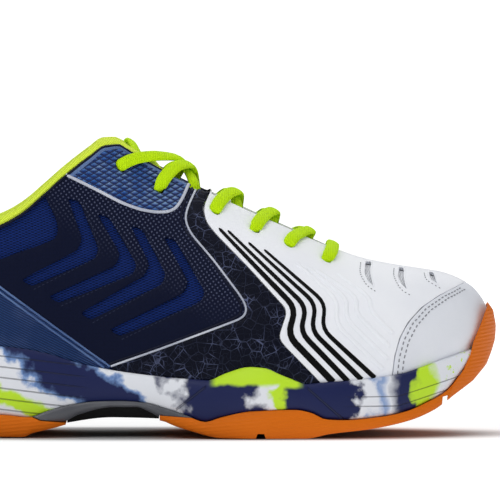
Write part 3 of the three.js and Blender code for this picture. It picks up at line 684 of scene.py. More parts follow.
class Graph:
    """A material's nodes, ending in one principled surface."""

    def __init__(self, name: str) -> None:
        """Starts an empty material."""
        self.material = bpy.data.materials.new(name)
        self.material.use_nodes = True
        self.tree = self.material.node_tree
        self.tree.nodes.clear()
        self.shader = self.tree.nodes.new("ShaderNodeBsdfPrincipled")
        output = self.tree.nodes.new("ShaderNodeOutputMaterial")
        self.tree.links.new(self.shader.outputs[0], output.inputs[0])
        where = self.tree.nodes.new("ShaderNodeTexCoord")
        self.where = self.node("ShaderNodeVectorMath", {0: Signal(self, where.outputs["Object"]),
                                                        1: (1000.0, 1000.0, 1000.0)}, operation="MULTIPLY")
        parts = self.tree.nodes.new("ShaderNodeSeparateXYZ")
        self.tree.links.new(self.where.socket, parts.inputs[0])
        self.x, self.y, self.z = (Signal(self, parts.outputs[k]) for k in range(3))

    def node(self, kind: str, inputs: dict, output: int | str = 0, **settings: object) -> Signal:
        """Adds any node.

        Args:
            kind: Its type.
            inputs: What goes in, by input number or name: a Signal or a plain value.
            output: Which output to give back.
            settings: Its other settings.

        Returns:
            The chosen output.
        """
        node = self.tree.nodes.new(kind)
        for key, value in settings.items():
            setattr(node, key, value)
        for key, value in inputs.items():
            if isinstance(value, Signal):
                self.tree.links.new(value.socket, node.inputs[key])
            else:
                node.inputs[key].default_value = value
        return Signal(self, node.outputs[output])

    def vector(self, x: Signal | float, y: Signal | float, z: Signal | float) -> Signal:
        """A vector from three values."""
        return self.node("ShaderNodeCombineXYZ", {0: x, 1: y, 2: z})

    def noise(self, scale: float, detail: float = 3, where: Signal | None = None) -> Signal:
        """Cloudy noise around 0.5; scale is in cells per millimetre."""
        return self.node("ShaderNodeTexNoise",
                         {"Vector": where or self.where, "Scale": scale, "Detail": detail})

    def cells(self, scale: float, feature: str = "F1", where: Signal | None = None) -> Signal:
        """Distance pattern of scattered cells."""
        return self.node("ShaderNodeTexVoronoi", {"Vector": where or self.where, "Scale": scale},
                         output="Distance", feature=feature)

    def mix(self, share: Signal | float, first: "Signal | Colour", second: "Signal | Colour") -> Signal:
        """Mix of two colours."""
        def full(c: "Signal | Colour") -> "Signal | tuple":
            return c if isinstance(c, Signal) else (*c, 1.0)
        node = self.tree.nodes.new("ShaderNodeMix")
        node.data_type = "RGBA"
        for index, value in ((0, share), (6, full(first)), (7, full(second))):
            if isinstance(value, Signal):
                self.tree.links.new(value.socket, node.inputs[index])
            else:
                node.inputs[index].default_value = value
        return Signal(self, node.outputs[2])

    def ramp(self, share: Signal, stops: Sequence[tuple[float, Colour]]) -> Signal:
        """Colours along a value from 0 to 1."""
        node = self.tree.nodes.new("ShaderNodeValToRGB")
        band = node.color_ramp
        while len(band.elements) > 1:
            band.elements.remove(band.elements[-1])
        band.elements[0].position = stops[0][0]
        band.elements[0].color = (*stops[0][1], 1)
        for position, colour in stops[1:]:
            band.elements.new(position).color = (*colour, 1)
        self.tree.links.new(share.socket, node.inputs[0])
        return Signal(self, node.outputs[0])

    def dress(self, colour: "Signal | Colour", roughness: "Signal | float", height: Signal | None = None,
              relief: float = 0.1, **uniform: float) -> bpy.types.Material:
        """Feeds the surface.

        Args:
            colour: Base colour.
            roughness: Roughness.
            height: Relief from 0 to 1.
            relief: Depth of the relief in millimetres.
            uniform: Plain values of other inputs, spaces written as underscores.

        Returns:
            The material.
        """
        for name, value in (("Base Color", colour), ("Roughness", roughness)):
            if isinstance(value, Signal):
                self.tree.links.new(value.socket, self.shader.inputs[name])
            else:
                self.shader.inputs[name].default_value = (*value, 1.0) if isinstance(value, tuple) else value
        if height is not None:
            bump = self.tree.nodes.new("ShaderNodeBump")
            bump.inputs["Strength"].default_value = 1.0
            bump.inputs["Distance"].default_value = relief * MM
            self.tree.links.new(height.socket, bump.inputs["Height"])
            self.tree.links.new(bump.outputs[0], self.shader.inputs["Normal"])
        for name, value in uniform.items():
            self.shader.inputs[name.replace("_", " ")].default_value = value
        return self.material


@dataclass(frozen=True)
class Cloth:
    """Woven or knitted cloth."""

    name: str
    dark: Colour
    light: Colour
    pitch: float = 0.9
    relief: float = 0.25
    fuzz: float = 0.0
    stretch: float = 1.0

    def material(self) -> bpy.types.Material:
        """Weave of two crossing yarn directions with a little fuzz."""
        g = Graph(self.name)
        k = 2 * math.pi / self.pitch
        warp = (g.x * (k / self.stretch) + g.y * (k / self.stretch) * 0.6).math("SINE")
        weft = (g.z * k + g.y * k * 0.5).math("SINE")
        yarn = (warp * weft) * 0.5 + 0.5
        grain = g.noise(1.4, 4)
        height = yarn * 0.8 + grain * 0.3
        tone = (yarn * 0.7 + grain * 0.45).smooth(0.1, 0.95)
        return g.dress(g.mix(tone, self.dark, self.light), grain * 0.15 + 0.78, height, self.relief,
                       Sheen_Weight=self.fuzz, Sheen_Roughness=0.4, Specular_IOR_Level=0.12)


@dataclass(frozen=True)
class Skin:
    """Plain coated leather with a fine grain."""

    name: str
    colour: Colour
    shade: Colour
    roughness: float = 0.42
    grain: float = 0.9
    relief: float = 0.05
    gloss: float = 0.3

    def material(self) -> bpy.types.Material:
        """Pebbled grain and slow changes of tone."""
        g = Graph(self.name)
        pebble = g.cells(self.grain)
        cloud = g.noise(0.03, 4)
        fine = g.noise(3.0, 2)
        height = pebble * 0.7 + fine * 0.4
        colour = g.mix(cloud.smooth(0.3, 0.75) * 0.6 + fine * 0.2, self.colour, self.shade)
        return g.dress(colour, pebble * 0.12 + (self.roughness - 0.04), height, self.relief,
                       Specular_IOR_Level=self.gloss)


@dataclass(frozen=True)
class Perforated:
    """Navy quarter skin: rows of small pale dots that fade into a fine crosshatch lower down."""

    name: str = "perforated_navy"
    colour: Colour = srgb(3, 7, 26)
    light: Colour = srgb(16, 25, 60)
    dots: Colour = srgb(84, 90, 116)
    pitch: float = 1.55

    def material(self) -> bpy.types.Material:
        """Dots on a slanted grid, crosshatch between."""
        g = Graph(self.name)
        a = (g.x * 0.82 + g.z * 0.57) / self.pitch
        b = (g.z * 0.82 - g.x * 0.57) / self.pitch
        da = a.math("FRACT") - 0.5
        db = b.math("FRACT") - 0.5
        away = (da * da + db * db).math("SQRT")
        cloud = g.noise(0.05, 2)
        fade = (g.z + g.x * 0.62 + cloud * 16).smooth(68, 92) * g.z.smooth(40, 60)
        dot = (1 - away.smooth(0.17, 0.3)) * fade
        hatch_a = ((g.x + g.z) * (2 * math.pi / 1.1)).math("SINE")
        hatch_b = ((g.x - g.z) * (2 * math.pi / 1.1)).math("SINE")
        hatch = (hatch_a * hatch_b) * 0.5 + 0.5
        grain = g.noise(2.2, 3)
        base = g.mix(hatch * 0.35 + grain * 0.25, self.colour, self.light)
        colour = g.mix(dot * 0.8, base, self.dots)
        height = hatch * 0.25 + grain * 0.15 - dot
        return g.dress(colour, dot * 0.2 + 0.5, height, 0.2, Specular_IOR_Level=0.08)


@dataclass(frozen=True)
class Crinkle:
    """Near-black skin with raised lines like crazed glass."""

    name: str = "crinkle_skin"

    def material(self) -> bpy.types.Material:
        """Straight-edged cells with raised borders, painted bright in patches as highlights."""
        g = Graph(self.name)
        where = g.vector(g.x, g.y * 0.7, g.z)
        coarse = g.cells(0.2, "DISTANCE_TO_EDGE", where)
        fine = g.cells(0.42, "DISTANCE_TO_EDGE", where)
        line = 1 - coarse.smooth(0.005, 0.05)
        thin = 1 - fine.smooth(0.005, 0.05)
        both = line.math("MAXIMUM", thin * 0.5)
        painted_glint = g.noise(0.12, 3).smooth(0.42, 0.62)
        grain = g.noise(2.0, 3)
        # The raised borders are painted bright where the glint noise is high: a painted highlight on
        # near-black skin.
        colour = g.mix(both * (painted_glint * 0.75 + 0.2) + grain * 0.04, srgb(3, 5, 20), srgb(88, 96, 128))
        return g.dress(colour, 0.4 - both * 0.1, both + grain * 0.1, 0.35, Specular_IOR_Level=0.08)


@dataclass(frozen=True)
class Diamonds:
    """Royal-blue skin pressed with small shiny diamonds."""

    name: str = "diamond_skin"
    pitch: float = 2.3

    def material(self) -> bpy.types.Material:
        """Rows of diamonds, each raised in its middle, with painted light making its upper edge lighter and
        its lower edge darker.
        """
        g = Graph(self.name)
        a = ((g.x * 0.55 + g.z * 1.0) / self.pitch).math("FRACT") - 0.5
        b = ((g.z * 1.0 - g.x * 0.55) / self.pitch).math("FRACT") - 0.5
        rise = 1 - a.math("ABSOLUTE").math("MAXIMUM", b.math("ABSOLUTE")) * 2
        lift = rise.smooth(0.02, 0.45)
        # Painted light: each diamond is lighter towards its upper edge and darker towards its lower edge, as
        # if lit from above.
        painted_top_light = (a + b).smooth(-0.5, 0.85)
        tint = g.noise(0.12, 2).smooth(0.35, 0.65)
        face = g.mix(painted_top_light, srgb(2, 34, 104), g.mix(tint, srgb(58, 118, 196), srgb(140, 178, 226)))
        colour = g.mix(lift * 0.85 + 0.05, srgb(4, 18, 62), face)
        return g.dress(colour, 0.42 - lift * 0.12, lift, 0.28, Metallic=0.15, Specular_IOR_Level=0.3)


@dataclass(frozen=True)
class Ribbed:
    """Metallic blue heel skin with fine slanted ribs."""

    name: str = "ribbed_metallic"
    pitch: float = 1.15

    def material(self) -> bpy.types.Material:
        """Ribs rising towards the heel, with a slow change of tone."""
        g = Graph(self.name)
        rib = ((g.x * 0.55 + g.z * 1.1) * (2 * math.pi / self.pitch)).math("SINE") * 0.5 + 0.5
        cloud = g.noise(0.06, 3).smooth(0.35, 0.7)
        fine = g.noise(1.8, 3)
        colour = g.mix(rib * 0.7 + fine * 0.2, srgb(6, 20, 52),
                       g.mix(cloud, srgb(24, 62, 120), srgb(62, 88, 142)))
        return g.dress(colour, 0.44 - rib * 0.1, rib * 0.8 + fine * 0.2, 0.25, Metallic=0.4,
                       Specular_IOR_Level=0.3)


@dataclass(frozen=True)
class Marble:
    """Midsole foam with its white, navy and lime print."""

    name: str = "marbled_foam"
    white: Colour = srgb(226, 229, 236)
    navy: Colour = srgb(16, 27, 76)
    lime: Colour = srgb(190, 230, 44)
    pale: Colour = srgb(112, 144, 196)

    def material(self) -> bpy.types.Material:
        """Bands along the wall, slanted behind the arch, with torn edges, and moulded grooves with painted
        shade in them.
        """
        g = Graph(self.name)
        w, n, y = self.white, self.navy, self.lime
        tear = g.noise(0.075, 6) - 0.5
        slant = (1 - g.x.smooth(-14, 22)) * 1.6
        s = g.x + (g.z - 20) * slant + tear * (46 - g.x.smooth(88, 100) * 30) + g.y * 0.08
        b = self.pale
        marks = [(-150, w), (-136, y), (-128, y), (-122, w), (-108, n), (-96, n), (-90, w), (-76, w),
                 (-72, y), (-58, y), (-53, w), (-44, w), (-41, b), (-37, n), (-14, n), (-10, b), (-7, w),
                 (7, w), (12, n), (38, n), (43, w), (47, w), (50, y), (62, y), (66, n), (82, n), (85, w),
                 (90, w), (93, b), (96, w), (101, n), (107, n), (108, y), (114, y), (117, w)]
        share = (s + 150) / 300
        rear_marks, front_marks = marks[:31], marks[24:]
        printed = g.ramp(share, [((x + 150) / 300, c) for x, c in rear_marks])
        front = g.ramp(share, [((x + 150) / 300, c) for x, c in front_marks])
        printed = g.mix((g.x + tear * 34).smooth(58, 62), printed, front)
        bump_zone = g.x.within(28, 64, 2) * (g.z + tear * 6).smooth(20.5, 22.5)
        printed = g.mix(bump_zone, printed, y)
        speck = g.noise(0.5, 4).smooth(0.58, 0.66) * g.x.within(124, 136, 3)
        printed = g.mix(speck, printed, y)
        heel = 1 - g.x.smooth(-32, -22)
        row = ((g.z - (g.x * -0.12) - 12) * (2 * math.pi / 4.4)).math("SINE").smooth(0.9, 0.99)
        level = g.z - (g.x - 104).math("MAXIMUM", 0.0) * 0.29
        toe_row = ((level - 13.3) * (2 * math.pi / 3.9)).math("COSINE").smooth(0.93, 0.995)
        toe_row = toe_row * level.within(11, 19, 1)
        rear_edge = (g.z - (g.x - 13.4) * 0.78 - 11.9).within(-0.55, 0.55, 0.2) * g.x.within(13, 25, 0.5)
        front_edge = (g.z + (g.x - 67.9) * 0.88 - 19.9).within(-0.55, 0.55, 0.2) * g.x.within(67, 82, 0.5)
        edges = (rear_edge + front_edge) * (1 - g.y.smooth(-2, 2))
        lines = row * heel + toe_row * g.x.smooth(80, 92) + edges
        outer = g.y.math("ABSOLUTE").smooth(8, 14) + g.x.math("ABSOLUTE").smooth(134, 140)
        groove = lines * outer.math("MINIMUM", 1.0)
        grain = g.noise(1.6, 3)
        # The grooves are painted darker: painted shade in the moulded grooves, on top of their bump.
        colour = g.mix(groove * 0.45, printed, srgb(40, 44, 60))
        return g.dress(colour, grain * 0.15 + 0.4, grain * 0.06 - groove, 0.7, Specular_IOR_Level=0.25)


@dataclass(frozen=True)
class Gum:
    """Orange gum rubber with a herringbone tread underneath."""

    name: str = "gum_rubber"

    def material(self) -> bpy.types.Material:
        """Herringbone by the plan, fine ribs on the walls."""
        g = Graph(self.name)
        fold = ((g.x / 14).math("FRACT") - 0.5).math("ABSOLUTE") * 14
        tread = ((g.y + fold * 1.2) * (2 * math.pi / 4.6)).math("SINE").smooth(-0.2, 0.25)
        inside = g.x.smooth(-140, -110) * 8 + g.x.smooth(-20, 40) * 9 - g.x.smooth(100, 140) * 12 + 18
        under = (1 - g.z.smooth(3.5, 5.5)) * (1 - (g.y.math("ABSOLUTE") - inside).smooth(-1.0, 1.0))
        side = ((g.z - g.x * 0.1) * (2 * math.pi / 1.5)).math("SINE") * 0.5 + 0.5
        grain = g.noise(1.2, 4)
        cloud = g.noise(0.05, 3).smooth(0.35, 0.7)
        colour = g.mix(cloud, srgb(206, 96, 8), srgb(178, 76, 4))
        colour = g.mix(tread * under * 0.35, srgb(216, 108, 14), colour)
        return g.dress(colour, grain * 0.2 + 0.42, tread * under + side * 0.12 + grain * 0.08, 0.9,
                       Specular_IOR_Level=0.12)


@dataclass(frozen=True)
class Moulded:
    """Moulded plastic or board with a fine texture."""

    name: str
    colour: Colour
    shade: Colour
    roughness: float = 0.45
    relief: float = 0.08

    def material(self) -> bpy.types.Material:
        """Spark-eroded texture with a slow change of tone."""
        g = Graph(self.name)
        fine = g.noise(2.6, 4)
        cloud = g.noise(0.04, 2).smooth(0.3, 0.7)
        return g.dress(g.mix(cloud * 0.7 + fine * 0.3, self.colour, self.shade),
                       fine * 0.2 + (self.roughness - 0.1),
                       fine, self.relief)


@dataclass(frozen=True)
class Thread:
    """Twisted thread or braided cord."""

    name: str
    colour: Colour
    shade: Colour
    pitch: float = 0.8
    relief: float = 0.12
    glow: float = 0.0

    def material(self) -> bpy.types.Material:
        """Diagonal twist across the cord."""
        g = Graph(self.name)
        k = 2 * math.pi / self.pitch
        one = ((g.x + g.y * 0.8 + g.z) * k).math("SINE")
        two = ((g.x - g.y * 0.8 - g.z) * k).math("SINE")
        braid = (one * two) * 0.5 + 0.5
        fine = g.noise(2.5, 3)
        return g.dress(g.mix(braid * 0.7 + fine * 0.35, self.shade, self.colour), fine * 0.15 + 0.68,
                       braid + fine * 0.2, self.relief, Specular_IOR_Level=0.15)


class Finishes:
    """Every material of the shoe."""

    def __init__(self) -> None:
        """Builds them."""
        self.royal = Cloth("royal_mesh", srgb(2, 6, 24), srgb(20, 46, 116), 1.2, 0.4, 0.0, 2.2).material()
        self.pale = Cloth("pale_mesh", srgb(186, 190, 198), srgb(246, 247, 249), 1.1, 0.3).material()
        self.collar = Cloth("collar_cloth", srgb(190, 216, 24), srgb(232, 252, 88), 1.0, 0.14,
                            0.08).material()
        self.lining = Cloth("lining_cloth", srgb(170, 174, 180), srgb(226, 228, 232), 0.9, 0.2).material()
        self.sock = Cloth("sock_cloth", srgb(14, 18, 34), srgb(46, 54, 80), 1.2, 0.25).material()
        self.tongue = Cloth("tongue_cloth", srgb(8, 11, 24), srgb(32, 38, 60), 1.6, 0.4).material()
        self.white = Skin("white_skin", srgb(243, 245, 250), srgb(230, 233, 241)).material()
        self.cap = Skin("toe_cap_skin", srgb(230, 233, 240), srgb(214, 218, 228), 0.48, 1.4, 0.07).material()
        self.navy = Skin("navy_skin", srgb(5, 9, 28), srgb(16, 22, 48), 0.45, 1.1, 0.07, 0.15).material()
        self.black = Skin("stripe_film", srgb(2, 2, 3), srgb(6, 6, 8), 0.5, 2.2, 0.03, 0.1).material()
        self.perforated = Perforated().material()
        self.crinkle = Crinkle().material()
        self.diamonds = Diamonds().material()
        self.ribbed = Ribbed().material()
        self.marble = Marble().material()
        self.gum = Gum().material()
        self.shank = Moulded("shank_plastic", srgb(92, 94, 100), srgb(64, 66, 74), 0.36).material()
        # Near-black finish of the block under the arch: painted shade, not a real plastic part.
        self.arch_shade = Moulded("arch_shade_black", srgb(7, 7, 9), srgb(3, 3, 4), 0.8).material()
        self.board = Moulded("fibre_board", srgb(206, 196, 172), srgb(182, 170, 146), 0.9, 0.2).material()
        self.stiffener = Moulded("stiffener", srgb(220, 214, 202), srgb(196, 190, 178), 0.75,
                                 0.15).material()
        self.foam = Moulded("collar_foam", srgb(236, 232, 214), srgb(214, 208, 186), 0.95, 0.3).material()
        self.silver = Moulded("silver_piping", srgb(206, 210, 222), srgb(160, 166, 184), 0.34,
                              0.05).material()
        self.blue_bead = Moulded("blue_piping", srgb(96, 124, 172), srgb(50, 78, 130), 0.34, 0.05).material()
        self.dark_thread = Thread("navy_thread", srgb(54, 62, 92), srgb(20, 24, 42)).material()
        self.grey_thread = Thread("grey_thread", srgb(168, 170, 176), srgb(116, 118, 126)).material()
        self.pale_thread = Thread("white_thread", srgb(246, 247, 250), srgb(190, 194, 206)).material()
        self.lace = Thread("lace_cord", srgb(216, 255, 8), srgb(172, 222, 0), 1.5, 0.22).material()


def dress(piece: bpy.types.Object, material: bpy.types.Material,
          body: str = "shoe") -> bpy.types.Object:
    """Gives a piece its material and its body."""
    piece.data.materials.clear()
    piece.data.materials.append(material)
    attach(piece, body)
    return piece


# ------------------------------------------------------------------ cutting


def prism(points: Points, low: float = -90, high: float = 90) -> bpy.types.Object:
    """Cutter over an outline in the side view, between two values of y."""
    pts = dense(points, 1000, closed=True)
    count = len(pts)
    rings = [np.stack([pts[:, 0], np.full(count, y), pts[:, 1]], -1) for y in (low, high)]
    faces: list[tuple[int, ...]] = list(grid_faces(2, count, True))
    faces += [tuple(range(count)), tuple(range(2 * count - 1, count - 1, -1))]
    piece = new_piece("cutter", np.concatenate(rings), faces)
    face_out(piece)
    return piece


def cut(piece: bpy.types.Object, points: Points, keep: bool, low: float = -90, high: float = 90) -> None:
    """Keeps or removes the part of a piece inside an outline of the side view."""
    cutter = prism(points, low, high)
    apply_modifier(piece, "BOOLEAN", object=cutter, operation="INTERSECT" if keep else "DIFFERENCE",
                   solver="EXACT")
    bpy.data.objects.remove(cutter)


def spaced(start: float, end: float, steps: int) -> Array:
    """u stations between two drawn values of x, in even steps of u."""
    return np.linspace(LAST.station(start), LAST.station(end), steps + 1)


def ease(piece: bpy.types.Object, width: float, angle: float) -> None:
    """Rounds the edges that turn by more than an angle in degrees."""
    apply_modifier(piece, "BEVEL", width=width * MM, segments=2, limit_method="ANGLE",
                   angle_limit=math.radians(angle))


def ring_loft(name: str, sections: Array, shut_start: bool = True,
              shut_end: bool = True) -> bpy.types.Object:
    """A closed body through closed sections; sections that are folded flat close by themselves.

    Args:
        name: The piece's name.
        sections: Points as sections x points x 3.
        shut_start: Whether the first section gets a cap.
        shut_end: Whether the last section gets a cap.

    Returns:
        The body.
    """
    rows, columns = sections.shape[:2]
    faces: list[tuple[int, ...]] = list(grid_faces(rows, columns, True))
    if shut_start:
        faces.append(tuple(range(columns)))
    if shut_end:
        faces.append(tuple(range((rows - 1) * columns, rows * columns)))
    piece = new_piece(name, sections.reshape(-1, 3), faces)
    face_out(piece)
    return smooth(piece)


# ------------------------------------------------------------------ soles


@dataclass
class Soles:
    """Midsole, outsoles and shank."""

    finishes: Finishes
    wall: float = SIDEWALL
    outrigger: float = 2.2
    guard_proud: float = 0.7
    stations: int = 200

    def swell(self, x: Array, side: Side) -> Array:
        """Extra thickness of the lateral wall beside the ball."""
        return self.outrigger * BUMP(x) / 6.4 if side is Side.LATERAL else np.zeros_like(x)

    def roof(self, x: Array, side: Side) -> Array:
        """Top edge of the midsole."""
        return MIDSOLE_TOP(x) + (BUMP(x) if side is Side.LATERAL else 0)

    def flank(self, u: Array, side: Side, rows: Sequence[tuple[float, float]],
              floor: Callable[[Array], Array],
              roof: Callable[[Array], Array], extra: float = 0.0) -> Array:
        """Points of an outer wall.

        Args:
            u: Stations.
            side: Which side.
            rows: (share of the height, distance out) of each row.
            floor: Lower edge over x.
            roof: Upper edge over x.
            extra: Added to every distance.

        Returns:
            Stations x rows x 3 points.
        """
        base = np.stack([u, np.full_like(u, side.value * LAST.WALL)], -1)
        x = LAST.point(base)[:, 0]
        out = []
        for share, bulge in rows:
            edge = LAST.level(base, self.wall + extra + bulge + self.swell(x, side) * (1 - 0.6 * share**3))
            low = floor(edge[:, 0])
            edge[:, 2] = low + share * (np.maximum(roof(edge[:, 0]), low + 0.5) - low)
            out.append(edge)
        return np.stack(out, 1)

    def midsole(self) -> bpy.types.Object:
        """Foam cup: outer wall, rounded rim, inner wall down to the board."""
        u = np.linspace(0, 1, self.stations + 1)
        rows = [(0, -2.0), (0.03, -1.2), (0.08, -0.6), (0.18, -0.1), (0.32, 0.2), (0.5, 0.35),
                (0.68, 0.25), (0.84, -0.1), (0.93, -0.5), (0.98, -1.0), (1.0, -1.5)]
        halves = []
        for side in (Side.MEDIAL, Side.LATERAL):
            outer = self.flank(u, side, rows, MIDSOLE_FLOOR, lambda x: self.roof(x, side))
            top = outer[:, -1, 2]
            inner = []
            for drop, depth in ((0.0, SKIN_TOP + 0.15), (1.2, SKIN_TOP + 0.05), (5.0, SKIN_TOP + 0.05)):
                z = top - drop
                inner.append(self.cup(u, z, side, depth))
            feather = np.stack([u, side.value * np.ones_like(u)], -1)
            low = LAST.level(feather, SKIN_TOP)
            inner.append(low)
            floor = low.copy()
            floor[:, 2] -= 2.6
            inner.append(floor)
            halves.append(np.concatenate([outer, np.stack(inner, 1)], 1))
        sections = np.concatenate([halves[0], halves[1][:, ::-1]], 1)
        piece = ring_loft("midsole_shell", sections, False, False)
        cut(piece, [*shifted(GUARD_REAR, -0.3), (142.4, 54), (160, 54), (160, 10), (124.2, 10)], keep=False)
        ease(piece, 0.5, 60)
        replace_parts(smooth(piece), "midsole")
        return dress(piece, self.finishes.marble)

    def cup(self, u: Array, z: Array, side: Side, depth: float) -> Array:
        """Inner wall of the cup at a height."""
        drawn = LAST.drawn_x(u)
        low = LAST.widest(drawn)
        up = np.clip((z - low) / (LAST.crest(drawn) - low), 0, 1)
        angle = np.arcsin(np.clip(up ** (LAST.power(drawn) / 2), 0, 1))
        down = np.clip((low - z) / (low - LAST.feather(drawn)), 0, 1)
        w = np.where(z < low, LAST.WALL + (1 - LAST.WALL) * down, LAST.WALL * (1 - angle / (math.pi / 2)))
        point = LAST.level(np.stack([u, side.value * w], -1), depth)
        point[:, 2] = z
        return point

    def block(self, name: str, start: float, end: float, rows: Sequence[tuple[float, float]],
              floor: Callable[[Array], Array], roof: Callable[[Array], Array], extra: float = 0.0,
              steps: int = 90) -> bpy.types.Object:
        """A full-width block between two stations."""
        u = spaced(start, end, steps)
        sections = np.concatenate([self.flank(u, Side.MEDIAL, rows, floor, roof, extra),
                                   self.flank(u, Side.LATERAL, rows, floor, roof, extra)[:, ::-1]], 1)
        return ring_loft(name, sections, start > -LAST.TIP, end < LAST.TIP)

    def outsoles(self) -> list[bpy.types.Object]:
        """Forefoot rubber with its toe guard, heel rubber and the plastic shank between them."""
        rows = [(0, -1.5), (0.12, -0.5), (0.3, 0.15), (0.6, 0.35), (0.9, 0.15), (1.0, -0.2)]
        roof = lambda x: MIDSOLE_FLOOR(x) - 0.1
        fore = self.block("forefoot_rubber", 4, LAST.TIP, rows, GROUND, roof)
        cut(fore, [(6.2, 9.0), (6.2, -5), (129.5, -5), (129.5, 40), (28, 40), (24.4, 7.9)], keep=True)
        cut(fore, [(45.4, -1), (50.1, -1), (49.1, 2), (46.4, 2)], keep=False)
        cut(fore, [(121.6, 5), (126, 5), (124.9, 17.0), (122.6, 16.4)], keep=False)
        ease(fore, 0.4, 50)
        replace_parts(smooth(fore), "outsole_forefoot")
        guard_rows = [(0, -1.2), (0.06, -0.4), (0.15, 0), (0.5, 0.1), (0.85, 0), (0.94, -0.4), (1.0, -1.2)]
        guard = self.guard(guard_rows)
        heel = self.block("heel_rubber", -LAST.TIP, -28, rows, GROUND, roof)
        cut(heel, [(-160, -5), (-32.5, -5), (-32.5, 5.8), (-43, 6.7), (-47.6, 8.7), (-47.6, 40),
                   (-160, 40)], keep=True)
        ease(heel, 0.4, 50)
        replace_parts(smooth(heel), "outsole_heel")
        shank = self.block("shank_plate_moulding", -52, 26, rows, SHANK_FLOOR,
                           lambda x: MIDSOLE_FLOOR(x) + 0.2, -0.7)
        cut(shank, [(-47.2, 40), (-47.2, 9), (-42.8, 7.1), (-32.2, 6.2), (-32.2, -5), (5.9, -5),
                    (5.9, 9.2), (24, 8), (24, 40)], keep=True)
        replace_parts(smooth(shank), "shank_plate")
        dress(shank, self.finishes.shank)
        # Near-black block under the arch: painted shade that stands in for the shadow seen under the arch,
        # not a part of the sole.
        arch_shade = self.block("arch_shade_block", -33, 8, [(0, -4), (0.1, -1.5), (0.5, -0.4), (1.0, 0)], GROUND,
                          lambda x: SHANK_FLOOR(x) + 1.6, -13.0, 50)
        cut(arch_shade, [(-32, -5), (5.8, -5), (5.8, 40), (-32, 40)], keep=True)
        dress(arch_shade, self.finishes.arch_shade)
        return [dress(piece, self.finishes.gum) for piece in (fore, guard, heel)] + [shank]

    def guard(self, rows: Sequence[tuple[float, float]]) -> bpy.types.Object:
        """Rubber over the toe, standing up from the outsole, closed behind by the midsole."""
        u = spaced(112, LAST.TIP, 70)
        walls = []
        for side in (Side.MEDIAL, Side.LATERAL):
            outer = self.flank(u, side, rows, GROUND, lambda x: np.full_like(x, 53.5), self.guard_proud)
            inner = self.flank(u, side, [(1.0, -2.6), (0.5, -2.2), (0.0, -3.4)], GROUND,
                               lambda x: np.full_like(x, 52.5),
                               self.guard_proud)
            walls.append(np.concatenate([outer, inner], 1))
        bodies = [ring_loft("toe_guard", wall) for wall in walls]
        piece = join(bodies, "toe_guard")
        cut(piece, [*shifted(GUARD_REAR, 0.0), (142.4, 54), (160, 54), (160, 10), (124.4, 10)], keep=True)
        cut(piece, [(100, -5), (118.7, 10.4), (127.9, 17.3), (135.3, 22.4), (141.1, 28.8), (144.6, 36.8),
                    (145.3, 43.7), (144, 50.6), (141.6, 54), (110, 70)], keep=True)
        ease(piece, 0.4, 50)
        return smooth(piece)


# ------------------------------------------------------------------ upper


def throat_line(side: Side, start: float, end: float, steps: int) -> Array:
    """Edge of the throat between two values of x, as (u, w) places."""
    x = np.linspace(start, end, steps + 1)
    return LAST.place_top(x, side.value * LAST.throat(x))


def collar_line(side: Side, start: float, end: float, steps: int, drop: float = 0.0) -> Array:
    """Collar edge between two values of x, as (u, w) places."""
    x = np.linspace(start, end, steps + 1)
    return LAST.place(x, COLLAR(x) - drop, side)


def top_edge(side: Side, start: float, end: float, steps: int) -> Array:
    """Upper edge of the panels: the collar, then the throat where that is the lower of the two."""
    x = np.linspace(start, end, steps + 1)
    collar = LAST.place(x, COLLAR(x), Side.MEDIAL)
    throat = LAST.place_top(x, LAST.throat(x))
    reach = np.maximum(collar[:, 1], np.where(x > -29.9, throat[:, 1], 0))
    return np.stack([collar[:, 0], side.value * reach], -1)


def heel_strip_edge(side: Side, offset: float, heights: Array) -> Array:
    """Places near the heel a distance to one side of the middle, at given heights."""
    low_u, high_u = np.zeros_like(heights), np.full_like(heights, 0.3)
    for _ in range(40):
        u = (low_u + high_u) / 2
        away = np.abs(LAST.point(at_height(u, heights, side))[:, 1] - LAST.centre(LAST.drawn_x(u)))
        low_u, high_u = np.where(away < offset, u, low_u), np.where(away < offset, high_u, u)
    return at_height(u, heights, side)


def at_height(u: Array, z: Array, side: Side) -> Array:
    """Places at stations and heights."""
    drawn = LAST.drawn_x(u)
    low = LAST.widest(drawn)
    up = np.clip((z - low) / (LAST.crest(drawn) - low), 0, 1)
    angle = np.arcsin(np.clip(up ** (LAST.power(drawn) / 2), 0, 1))
    down = np.clip((low - z) / (low - LAST.feather(drawn)), 0, 1)
    w = np.where(z < low, LAST.WALL + (1 - LAST.WALL) * down, LAST.WALL * (1 - angle / (math.pi / 2)))
    return np.stack([u, side.value * w], -1)


def flipped(uw: Array) -> Array:
    """The same places on the other side."""
    return uw * [1, -1]


